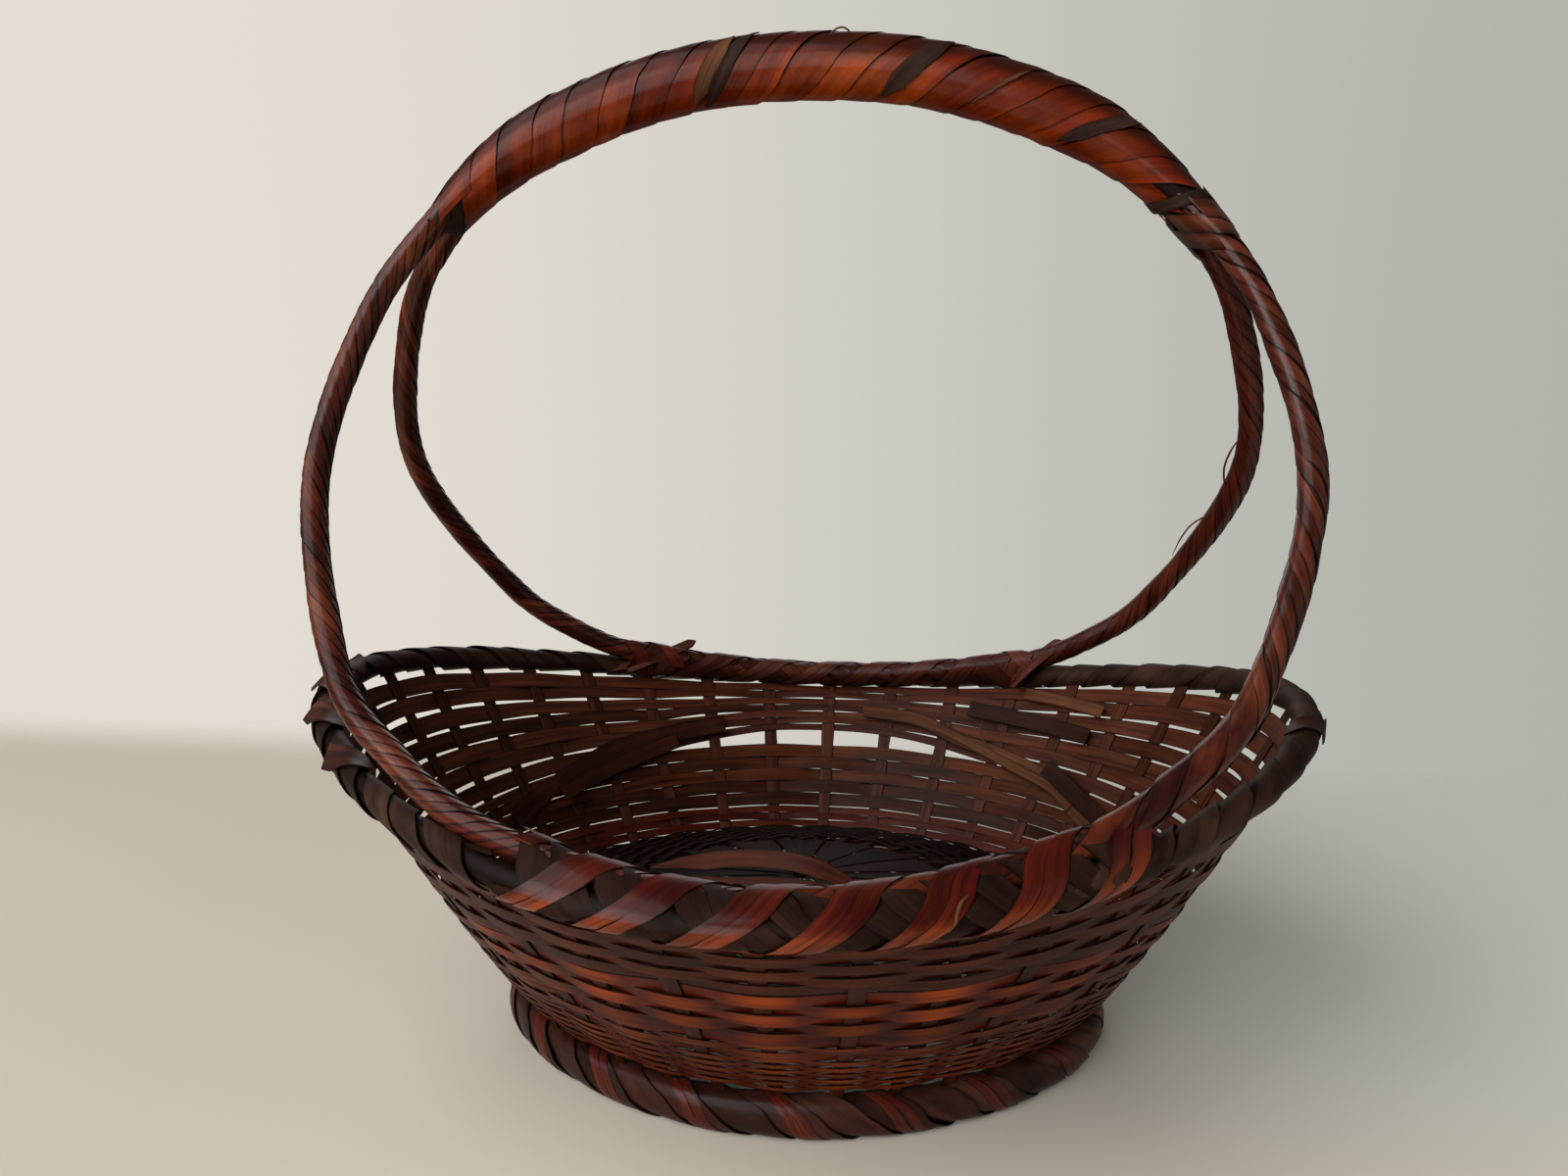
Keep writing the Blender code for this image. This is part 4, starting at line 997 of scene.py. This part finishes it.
# Bundles at the front and rear: matt strips first, then two bands of two strips each that cross them
under = {"pitch": 0.048, "strips": 4, "fill": 0.96, "thickness": 0.0005, "samples": 36, "wobble": 0.06,
         "uneven": 0.35, "rise": 0.0010, "tilt": 0.0006, "scatter": 0.5, "square": 0.8}
over = {"pitch": 0.054, "strips": 2, "spread": 0.25, "fill": 1.08, "thickness": 0.0004, "samples": 44,
        "wobble": 0.03, "uneven": 0.25, "rise": 0.0004, "tilt": 0.0002, "standOff": 0.0009, "square": 0.8}
bundles = {
    "front": {"side": -1, "span": (49.5, 115.0), "under": "bandCane", "over": "rimLacquer", "hands": (1, -1)},
    "rear": {"side": 1, "span": (58.0, 121.0), "under": "rearCane", "over": "rearBand", "hands": (-1, 1)},
}
for face, settings in bundles.items():
    side = settings["side"]
    underHand, overHand = settings["hands"]
    stations = rimStations(*settings["span"], 90, side, True)
    strips = {**under, "seed": 33 + side, "hand": underHand}
    piece = wind(face + "RimStrips", stations, strips, bamboo[settings["under"]])
    finishPiece(piece)
    pieces = []
    for n in (0, 1):
        band = {**over, "seed": 43 + side + 5 * n, "first": 0.5 * n, "hand": overHand}
        pieces.append(wind(face + "Bands", stations, band, bamboo[settings["over"]]))
    finishPiece(joinPieces(face + "RimBands", pieces), [face + "_lashing"])

# Joints, where a hoop leaves the rim: turns that take in both,
# each (middle and reach in degrees, look, pitch, strips, fill, hand)
jointTurn = {"thickness": 0.0005, "samples": 40, "wobble": 0.06, "uneven": 0.3, "tilt": 0.0002, "square": 0.8}
joints = {
    "frontRightJoint": {"side": -1, "standOff": 0.0015, "node": "front_right_joint_lashing", "turns": (
        (49.5, 2.4, "mattCane", 0.014, 1, 0.9, 1),)},
    "frontLeftJoint": {"side": -1, "standOff": 0.0015, "node": "front_left_joint_lashing", "turns": (
        (115.8, 3.2, "mattCane", 0.016, 1, 0.95, 1),)},
    "rearRightJoint": {"side": 1, "standOff": 0.0009, "node": "rear_right_joint_lashing", "turns": (
        (60.5, 6.0, "rearCane", 0.036, 3, 0.9, 1), (60.0, 6.0, "rearCane", 0.036, 2, 0.5, -1))},
    "rearLeftJoint": {"side": 1, "standOff": 0.0009, "node": "rear_left_joint_lashing", "turns": (
        (119.0, 6.0, "rearCane", 0.036, 3, 0.9, 1), (119.5, 6.0, "footBinding", 0.036, 2, 0.5, -1))},
}
for name, settings in joints.items():
    pieces = []
    for n, (middle, reach, lookName, pitch, strips, fill, hand) in enumerate(settings["turns"]):
        stations = rimStations(middle - reach, middle + reach, 24, settings["side"], True)
        turn = {**jointTurn, "pitch": pitch, "strips": strips, "fill": fill, "hand": hand, "first": 0.35 * n,
                "standOff": settings["standOff"] + 0.0006 * n, "seed": 90 + n}
        pieces.append(wind("turns", stations, turn, bamboo[lookName]))
    finishPiece(joinPieces(name, pieces), [settings["node"]])

# Ends of binding strips that have sprung loose at the rear joints: a width, and a route of (degrees, out, up)
# from the middle of the rim
jointEnds = (
    (0.0052, (
        (127.0, 0.0, -0.003), (121.0, -0.0095, -0.001), (116.5, -0.0125, 0.004), (112.5, -0.0135, 0.010))),
    (0.0075, (
        (59.5, -0.0080, -0.008), (56.5, -0.0130, -0.002), (53.5, -0.0135, 0.006), (51.0, -0.0120, 0.013))),
    (0.0030, ((124.0, -0.0100, -0.007), (119.0, -0.0120, 0.000), (117.0, -0.0080, 0.008))),
)
jointEndForm = {"steps": 20, "lift": 0.3, "pointed": 0.12, "thickness": 0.0005}
strips = []
for n, (width, route) in enumerate(jointEnds):
    places, normals = [], []
    knots = [(math.radians(degrees), out, up) for degrees, out, up in route]
    for spot in throughKnots(knots, jointEndForm["steps"]):
        along, out, up = wallFrame(spot.x, 1.0)
        places.append(wallPoint(spot.x, 1.0) + out * spot.y + up * spot.z)
        normals.append((up * jointEndForm["lift"] - out).normalized())
    strips.append((looseStations(places, normals, width, jointEndForm["pointed"]), 0.3 + 0.3 * n))
finishPiece(laidStrips("jointEnds", strips, bamboo["rearBand"], jointEndForm["thickness"]))
print("rim done")

# Foot: matt strips close round both hoops, and narrow pairs over them
foot = {"halfOut": 0.0050, "halfUp": 0.0064, "centreHeight": 0.0074, "steps": 200}
footWraps = {"pitch": 0.052, "strips": 3, "fill": 1.08, "thickness": 0.0007, "samples": 34, "wobble": 0.13,
             "uneven": 0.6, "rise": 0.0009, "tilt": 0.0005, "square": 0.85, "seed": 51, "hand": -1}
footPairs = {"pitch": 0.0345, "strips": 2, "spread": 0.25, "fill": 0.94, "thickness": 0.0006, "samples": 34,
             "wobble": 0.14, "uneven": 0.4, "square": 0.85, "standOff": 0.0006, "seed": 52, "hand": -1}


def footStations():
    stations = []
    for k in range(foot["steps"] + 1):
        angle = math.radians(90.0) + math.tau * k / foot["steps"]
        centre = wallPoint(angle, 0.0)
        centre.z = foot["centreHeight"]
        along, out, up = wallFrame(angle, 0.0)
        flat = Vector((out.x, out.y, 0.0)).normalized()
        stations.append((centre, flat * foot["halfOut"], Vector((0.0, 0.0, foot["halfUp"]))))
    return stations


stations = footStations()
core = coreTube("footCore", stations, 12, bamboo["stakeStain"], 0.95)
finishPiece(core)
piece = wind("footStrips", stations, footWraps, bamboo["footCane"])
finishPiece(piece, ["foot_hoop_outer", "foot_hoop_inner"])
piece = wind("footPairs", stations, footPairs, bamboo["footBinding"])
finishPiece(piece)
print("foot done")

# Weave: fill is how much of its spacing a row takes up, at the front, at the rear and at the ends
rows = {
    "skirt": {"count": 11, "solids": 5, "look": "skirtWeave", "fill": (1.22, 1.0, 1.1),
              "thickness": 0.00042, "lift": 0.0007, "wobble": 0.0009},
    "edge": {"count": 3, "solids": 2, "look": "skirtWeave", "fill": (1.2, 0.96, 1.0),
             "thickness": 0.00042, "lift": 0.0007, "wobble": 0.0006},
    "lower": {"count": 5, "solids": 5, "look": "lowerWeave", "fill": (1.22, 1.0, 0.91),
              "thickness": 0.0005, "lift": 0.00078, "wobble": 0.0008},
    "upper": {"count": 7, "solids": 7, "look": "upperWeave", "fill": (1.32, 1.0, 0.85),
              "thickness": 0.00045, "lift": 0.00074, "wobble": 0.0013},
}
# where the bands of rows meet, as shares of the wall's height; a pair is for the sides and the ends
bandEdges = {"skirtFrom": 0.03, "underFloor": 0.005, "overFloor": 0.002, "edgeTop": (0.36, 0.285),
             "lowerTop": (0.655, 0.455), "upperTop": 0.945, "sideGap": 0.068, "sideGapReach": 0.22,
              "frontShare": 0.3}
rowForm = {"samplesPerStake": 10, "shift": 0.07, "uneven": 0.12, "unevenScale": 4.0, "unevenStep": 3.7}


def bandLevels(angle, band):
    end = math.cos(angle) ** 2
    edgeTop = mix(*bandEdges["edgeTop"], end)
    lowerTop = mix(*bandEdges["lowerTop"], end)
    if band == "skirt":
        return bandEdges["skirtFrom"], floorLevel(angle) - bandEdges["underFloor"]
    if band == "edge":
        return floorLevel(angle) + bandEdges["overFloor"], edgeTop
    if band == "lower":
        return edgeTop, lowerTop
    # the upper rows start higher at the middle of both sides, most of all at the rear
    share = 1.0 if math.sin(angle) > 0.0 else bandEdges["frontShare"]
    gap = bandEdges["sideGap"] * max(0.0, 1.0 - end / bandEdges["sideGapReach"]) * share
    return lowerTop + gap, bandEdges["upperTop"]


# One woven strip as a rail, from samples of (place, face out, half across, stakes passed)
def weaveRail(samples, closed, lift, shade):
    places, faces, halves, passed = zip(*samples)
    lengths = [0.0]
    for before, place in zip(places, places[1:]):
        lengths.append(lengths[-1] + (place - before).length)
    return places, closed, {
        "faceOut": faces, "acrossHalf": halves, "stakesPassed": passed, "railLength": lengths,
        "weaveLift": [lift] * len(places), "stripShade": [shade] * len(places)}


def rowRails(band, settings, seed):
    rng = random.Random(seed)
    front, rear, ends = settings["fill"]
    rails = []
    for row in range(settings["count"]):
        shift = rng.uniform(-rowForm["shift"], rowForm["shift"])
        samples = []
        for k in range(stakeCount * rowForm["samplesPerStake"]):
            passed = k / rowForm["samplesPerStake"]
            angle = stakeAngle(passed)
            low, high = bandLevels(angle, band)
            step = (high - low) / settings["count"]
            middle = low + step * (row + 0.5 + shift)
            along, out, up = wallFrame(angle, middle)
            span = (wallPoint(angle, middle + step / 2.0) - wallPoint(angle, middle - step / 2.0)).length
            across, ahead = math.cos(angle), math.sin(angle)
            fill = mix(mix(front, rear, 0.5 + 0.5 * ahead), ends, across ** 2)
            scale = rowForm["unevenScale"]
            spot = Vector((across * scale, ahead * scale, seed + row * rowForm["unevenStep"]))
            fill *= 1.0 + rowForm["uneven"] * noise.noise(spot)
            samples.append((wallPoint(angle, middle), out, up * (span / 2.0 * fill), passed + row))
        rails.append(weaveRail(samples, True, settings["lift"], rng.random()))
    return rails


for k, (band, settings) in enumerate(rows.items()):
    seed = 60 + k
    piece = runTree(band + "Weave", rowRails(band, settings, seed), wovenRow, {
        "Thickness": settings["thickness"], "Wobble": settings["wobble"], "Seed": float(seed),
        "Material": bamboo[settings["look"]]})
    finishPiece(piece, ["%s_weft_%d" % (band, n + 1) for n in range(settings["solids"])])

# Stakes, the arms that carry on into the floor, and the star of base strips
stakes = {"thickness": 0.0006, "lowLevel": -0.1, "lowHeight": 0.003, "topLevel": 1.02, "steps": 28,
          "footWidth": 0.0048, "rimWidth": 0.0066, "uneven": 0.05, "lean": 0.0007, "seed": 70}
arms = {"steps": 12, "overlap": 0.03, "outerReach": 0.995, "splitWidth": 0.0036, "outerWidth": 0.0042}
star = {"steps": 8, "innerReach": 0.03, "splitReach": 0.47, "gap": 0.0008, "gapGrowth": 0.0012,
        "leastWidth": 0.0008, "crowding": 0.9}


def stakeStations(j, lean):
    angle = stakeAngle(j)
    stations = []
    for k in range(stakes["steps"] + 1):
        level = mix(stakes["lowLevel"], stakes["topLevel"], k / stakes["steps"])
        onWall = max(level, 0.0)
        along, out, up = wallFrame(angle, onWall)
        point = wallPoint(angle, onWall)
        if level < 0.0:
            # below the wall it runs straight down between the foot hoops
            out = Vector((out.x, out.y, 0.0)).normalized()
            point.z = mix(wall["footHeight"], stakes["lowHeight"], level / stakes["lowLevel"])
        uneven = 1.0 + stakes["uneven"] * math.sin(k + j * 2.3)
        width = mix(stakes["footWidth"], stakes["rimWidth"], onWall) * uneven
        aside = along * lean * math.sin(math.pi * onWall)
        stations.append((point + aside, along * (width / 2.0), out))
    return stations


def armStations(j):
    angle = stakeAngle(j)
    stations = []
    for k in range(arms["steps"] + 1):
        reach = mix(star["splitReach"] - arms["overlap"], arms["outerReach"], k / arms["steps"])
        point = floorPoint(angle, reach)
        side = (floorPoint(angle + 0.01, reach) - point).normalized()
        width = mix(arms["splitWidth"], arms["outerWidth"], reach)
        stations.append((point, side * (width / 2.0), floorNormal(angle, reach)))
    return stations


def starStations(j):
    angle = stakeAngle(j)
    stations = []
    for k in range(star["steps"] + 1):
        reach = mix(star["innerReach"], star["splitReach"], (k / star["steps"]) ** star["crowding"])
        side = floorPoint(angle + stakeStep, reach) - floorPoint(angle - stakeStep, reach)
        gap = star["gap"] + star["gapGrowth"] * reach
        half = max(side.length - gap, star["leastWidth"]) / 2.0
        stations.append((floorPoint(angle, reach), side.normalized() * half, floorNormal(angle, reach)))
    return stations


rng = random.Random(stakes["seed"])
stakeStrips, armStrips = [], []
for j in range(stakeCount):
    shade = rng.random()
    stakeStrips.append((stakeStations(j, rng.uniform(-stakes["lean"], stakes["lean"])), shade))
    armStrips.append((armStations(j), shade))
starStrips = [(starStations(j + 0.5), rng.random()) for j in range(0, stakeCount, 2)]
piece = laidStrips("wallStakes", stakeStrips, bamboo["stakeStain"], stakes["thickness"])
finishPiece(piece, ["spoke_%02d" % (k + 1) for k in range(stakeCount // 2)])
for name, strips in (("floorArms", armStrips), ("floorStar", starStrips)):
    finishPiece(laidStrips(name, strips, bamboo["floorStain"], stakes["thickness"]))

# Floor weavers chase each other outwards
floorRows = {"turns": 7, "startReach": 0.49, "endReach": 0.97, "samplesPerStake": 8, "lift": 0.00105,
             "thickness": 0.0006, "fill": 0.9, "wobble": 0.0006, "seed": 80}
floorPitch = (floorRows["endReach"] - floorRows["startReach"]) / (floorRows["turns"] + 0.5)
probe = 0.01  # a short step outwards, to find how long a share of the reach is
rng = random.Random(floorRows["seed"])
rails = []
for weaver in (0, 1):
    samples = []
    for k in range(floorRows["turns"] * stakeCount * floorRows["samplesPerStake"] + 1):
        j = k / floorRows["samplesPerStake"]
        angle = stakeAngle(j)
        reach = floorRows["startReach"] + floorPitch * (0.25 + weaver / 2.0 + j / stakeCount)
        point = floorPoint(angle, reach)
        outWay = floorPoint(angle, reach + probe) - point
        half = outWay.normalized() * (outWay.length / probe * floorPitch / 4.0 * floorRows["fill"])
        samples.append((point, floorNormal(angle, reach), half, j + weaver))
    rails.append(weaveRail(samples, False, floorRows["lift"], rng.random()))
piece = runTree("floorWeave", rails, wovenRow, {
    "Thickness": floorRows["thickness"], "Wobble": floorRows["wobble"], "Seed": float(floorRows["seed"]),
    "Material": bamboo["floorStain"]})
finishPiece(piece, ["floor_weaver_1", "floor_weaver_2"])
print("weave done")

# Loose strips inside the wall, each (depth inside it, width, route of degrees and level)
wallSplints = {
    "paleSplints": ("paleSplint", (
        (0.0036, 0.0064, (
            (84.0, 0.815), (74.5, 0.78), (66.5, 0.695), (59.0, 0.645), (49.0, 0.57), (42.0, 0.485),
            (33.0, 0.40))),
        (0.0044, 0.0045, ((71.0, 0.745), (63.0, 0.665), (55.0, 0.59), (46.0, 0.525), (40.0, 0.46))),
        (0.0036, 0.0060, ((57.0, 0.91), (50.0, 0.88), (42.0, 0.84))))),
    "darkSplints": ("stakeStain", (
        (0.0060, 0.0080, ((48.0, 0.60), (40.0, 0.51), (30.0, 0.43))),
        (0.0030, 0.0075, ((66.0, 0.84), (54.5, 0.79), (43.0, 0.74))),
        (0.0036, 0.0085, ((108.0, 0.73), (117.5, 0.68), (129.0, 0.61), (139.5, 0.515), (157.0, 0.38))),
        (0.0050, 0.0075, ((117.0, 0.645), (129.5, 0.54), (143.0, 0.445))))),
}
splintForm = {"steps": 28, "thickness": 0.0006}
for name, (lookName, splints) in wallSplints.items():
    strips = []
    for n, (inset, width, route) in enumerate(splints):
        knots = [(math.radians(degrees), level, 0.0) for degrees, level in route]
        spots = throughKnots(knots, splintForm["steps"])
        outs = [wallFrame(spot.x, spot.y)[1] for spot in spots]
        places = [wallPoint(spot.x, spot.y) - out * inset for spot, out in zip(spots, outs)]
        strips.append((looseStations(places, [-out for out in outs], width, 0.0), 0.25 + 0.2 * n))
    finishPiece(laidStrips(name, strips, bamboo[lookName], splintForm["thickness"]))


# Loose strips and splinters that stand in the open, each (width, length of the point, shade, route).
# They are flat to one direction, the way that the piece faces.
freeStrips = {
    "floorSplints": {"look": "redSplint", "thickness": 0.0006, "steps": 32, "facing": (0.0, -0.75, 0.66),
                     "nodes": ["loose_floor_strip_1", "loose_floor_strip_2"], "strips": (
        (0.0074, 0.3, 0.7, (
            (-0.0626, 0.0048, 0.0548), (-0.0518, 0.004, 0.0576), (-0.0397, -0.0001, 0.0608),
            (-0.0254, -0.0049, 0.0647), (-0.0111, -0.01, 0.0671), (-0.0001, -0.0124, 0.067),
            (0.0099, -0.0136, 0.0648), (0.0232, -0.0151, 0.0594), (0.042, -0.021, 0.0556))),
        (0.0056, 0.35, 0.3, (
            (-0.046, -0.010, 0.0580), (-0.02, -0.016, 0.0596), (0.0, -0.019, 0.0606),
            (0.016, -0.022, 0.0592), (0.036, -0.028, 0.0552))))},
    # a loop and a hair at the rear right leg, and an arc on the handle
    "darkHairs": {"look": "footBinding", "thickness": 0.0004, "steps": 24, "facing": (0.0, -1.0, 0.2),
                  "nodes": [], "strips": (
        (0.0008, 0.3, 0.8, (
            (0.1697, 0.0343, 0.2333), (0.1647, 0.0374, 0.2259), (0.1626, 0.0406, 0.2185),
            (0.1634, 0.0437, 0.2121), (0.166, 0.0469, 0.2068), (0.1676, 0.05, 0.2048))),
        (0.0007, 0.3, 0.6, (
            (0.166, 0.0536, 0.1993), (0.1582, 0.0516, 0.1963), (0.153, 0.0516, 0.1926),
            (0.1494, 0.0516, 0.1869), (0.1467, 0.0516, 0.1804))),
        (0.0006, 0.3, 0.4, (
            (0.0093, -0.0076, 0.3682), (0.0114, -0.008, 0.3703), (0.0141, -0.008, 0.3709),
            (0.0161, -0.0076, 0.3699), (0.0171, -0.0071, 0.3685))))},
    # a hooked splinter on the front rim, and a thin one inside the right wall
    "paleHairs": {"look": "paleSplint", "thickness": 0.0004, "steps": 24, "facing": (0.0, -1.0, 0.2),
                  "nodes": [], "strips": (
        (0.0012, 0.3, 0.8, (
            (0.0588, -0.1366, 0.1132), (0.0569, -0.1381, 0.1116), (0.0559, -0.1399, 0.1092),
            (0.0554, -0.1416, 0.1072), (0.0536, -0.1433, 0.1052))),
        (0.0007, 0.3, 0.6, (
            (0.0754, 0.1047, 0.0939), (0.0741, 0.1031, 0.0881), (0.0764, 0.1014, 0.0829),
            (0.0819, 0.1, 0.0797))))},
}
for name, settings in freeStrips.items():
    strips = []
    for width, pointed, shade, route in settings["strips"]:
        places = throughKnots(route, settings["steps"])
        normals = [Vector(settings["facing"]).normalized()] * len(places)
        strips.append((looseStations(places, normals, width, pointed), shade))
    piece = laidStrips(name, strips, bamboo[settings["look"]], settings["thickness"])
    finishPiece(piece, settings["nodes"])
print("loose strips done")

# Stage: a pale table and a pale room behind it
def stageMaterial():
    material = bpy.data.materials.new("paleTable")  # matt painted board, slightly warm
    material.use_nodes = True
    tree = material.node_tree
    shader = tree.nodes["Principled BSDF"]
    place = addNode(tree, "ShaderNodeTexCoord")
    split = addNode(tree, "ShaderNodeSeparateXYZ", {}, {0: place.outputs["Object"]})
    # warm to the left, lighter and cooler to the right: the lighter right is painted light over the basket's
    # shadow there
    sideways = addNode(tree, "ShaderNodeMapRange", {"interpolation_type": "SMOOTHSTEP"}, {
        "Value": split, "From Min": -0.35, "From Max": 0.4})
    tableAndSideLight = addNode(tree, "ShaderNodeMix", {"data_type": "RGBA"}, {
        "Factor": sideways, 6: hexColour("#d6ccba"), 7: hexColour("#f1f0e4")})
    # a lighter, warmer tone in front of the basket, from its middle to the right: painted light where the
    # basket's shade falls on the table
    frontPaintedLight = addNode(tree, "ShaderNodeMapRange", {"interpolation_type": "SMOOTHSTEP"}, {
        "Value": split.outputs[1], "From Min": 0.02, "From Max": -0.2})
    middle = addNode(tree, "ShaderNodeMapRange", {"interpolation_type": "SMOOTHSTEP"}, {
        "Value": split, "From Min": -0.22, "From Max": 0.02})
    near = addNode(tree, "ShaderNodeMath", {"operation": "MULTIPLY"}, {0: frontPaintedLight, 1: middle})
    frontPaintedLightColour = addNode(tree, "ShaderNodeMix", {"data_type": "RGBA"}, {
        "Factor": near, 6: tableAndSideLight.outputs[2], 7: hexColour("#f3e9d5")})
    tree.links.new(frontPaintedLightColour.outputs[2], shader.inputs["Base Color"])
    shader.inputs["Roughness"].default_value = 0.75
    # the table ends behind the basket, and fades far off on the other sides
    far = addNode(tree, "ShaderNodeVectorMath", {"operation": "LENGTH"}, {0: place.outputs["Object"]})
    farFade = addNode(tree, "ShaderNodeMapRange", {"interpolation_type": "SMOOTHSTEP"}, {
        "Value": far.outputs["Value"], "From Min": 0.72, "From Max": 0.98})
    backFade = addNode(tree, "ShaderNodeMapRange", {"interpolation_type": "SMOOTHSTEP"}, {
        "Value": split.outputs[1], "From Min": 0.27, "From Max": 0.37})
    fade = addNode(tree, "ShaderNodeMath", {"operation": "MAXIMUM"}, {0: farFade, 1: backFade})
    clear = addNode(tree, "ShaderNodeBsdfTransparent")
    blend = addNode(tree, "ShaderNodeMixShader", {}, {0: fade, 1: shader, 2: clear})
    tree.links.new(blend.outputs[0], tree.nodes["Material Output"].inputs["Surface"])
    return material


bm = bmesh.new()
bmesh.ops.create_circle(bm, cap_ends=True, segments=96, radius=1.0)
tableMesh = bpy.data.meshes.new("table")
bm.to_mesh(tableMesh)
bm.free()
tableMesh.materials.append(stageMaterial())
table = addObject("table", tableMesh)
table.location = (0.0, 0.0, -0.0002)  # just under the foot, so that the two don't meet

# Room: seen as a pale wall, warmer to the left, and gives only a little light by itself
world = bpy.data.worlds.new("room")
scene.world = world
world.use_nodes = True
tree = world.node_tree
tree.nodes.clear()
direction = addNode(tree, "ShaderNodeTexCoord")
split = addNode(tree, "ShaderNodeSeparateXYZ", {}, {0: direction.outputs["Generated"]})
sideways = addNode(tree, "ShaderNodeMapRange", {"interpolation_type": "SMOOTHSTEP"}, {
    "Value": split, "From Min": -0.55, "From Max": 0.5})
wallColour = addNode(tree, "ShaderNodeMix", {"data_type": "RGBA"}, {
    "Factor": sideways, 6: hexColour("#e3ddd3"), 7: hexColour("#b2b4ac")})
seen = addNode(tree, "ShaderNodeBackground", {}, {"Color": wallColour.outputs[2], "Strength": 1.0})
lighting = addNode(tree, "ShaderNodeBackground", {}, {"Color": (1.0, 0.97, 0.93, 1.0), "Strength": 0.13})
path = addNode(tree, "ShaderNodeLightPath")
choice = addNode(tree, "ShaderNodeMixShader", {}, {
    0: path.outputs["Is Camera Ray"], 1: lighting, 2: seen})
output = addNode(tree, "ShaderNodeOutputWorld", {}, {0: choice})

# Lamps: a large soft one at the front left and weaker ones round it, all turned to one place
lampAim = Vector((0.0, 0.0, 0.15))
lamps = {
    "windowFront": {"at": (-0.8, -1.6, 0.85), "size": 1.6, "power": 27.0},
    "ceiling": {"at": (-0.85, -0.5, 1.2), "size": 1.5, "power": 13.0},
    "wallRight": {"at": (1.3, -0.5, 0.6), "size": 1.2, "power": 1.0},
    "wallRear": {"at": (-0.3, 1.4, 0.8), "size": 1.0, "power": 4.0},
}
for name, lamp in lamps.items():
    data = bpy.data.lights.new(name, "AREA")
    data.energy = lamp["power"]
    data.size = lamp["size"]
    light = addObject(name, data)
    light.location = lamp["at"]
    light.rotation_euler = (lampAim - light.location).to_track_quat("-Z", "Y").to_euler()

# View of the photo: place in metres, tilt and turn in degrees
view = {"focalLength": 27.045, "sensor": 36.0, "at": (0.0436, -0.4408, 0.2497), "tilt": 80.17, "turn": 6.58}
lens = bpy.data.cameras.new("view")
lens.sensor_width = view["sensor"]
lens.lens = view["focalLength"]
lens.clip_start = 0.01
camera = addObject("view", lens)
camera.location = view["at"]
camera.rotation_euler = (math.radians(view["tilt"]), 0.0, math.radians(view["turn"]))
scene.camera = camera
scene.view_settings.view_transform = "Standard"

print("scene ready")
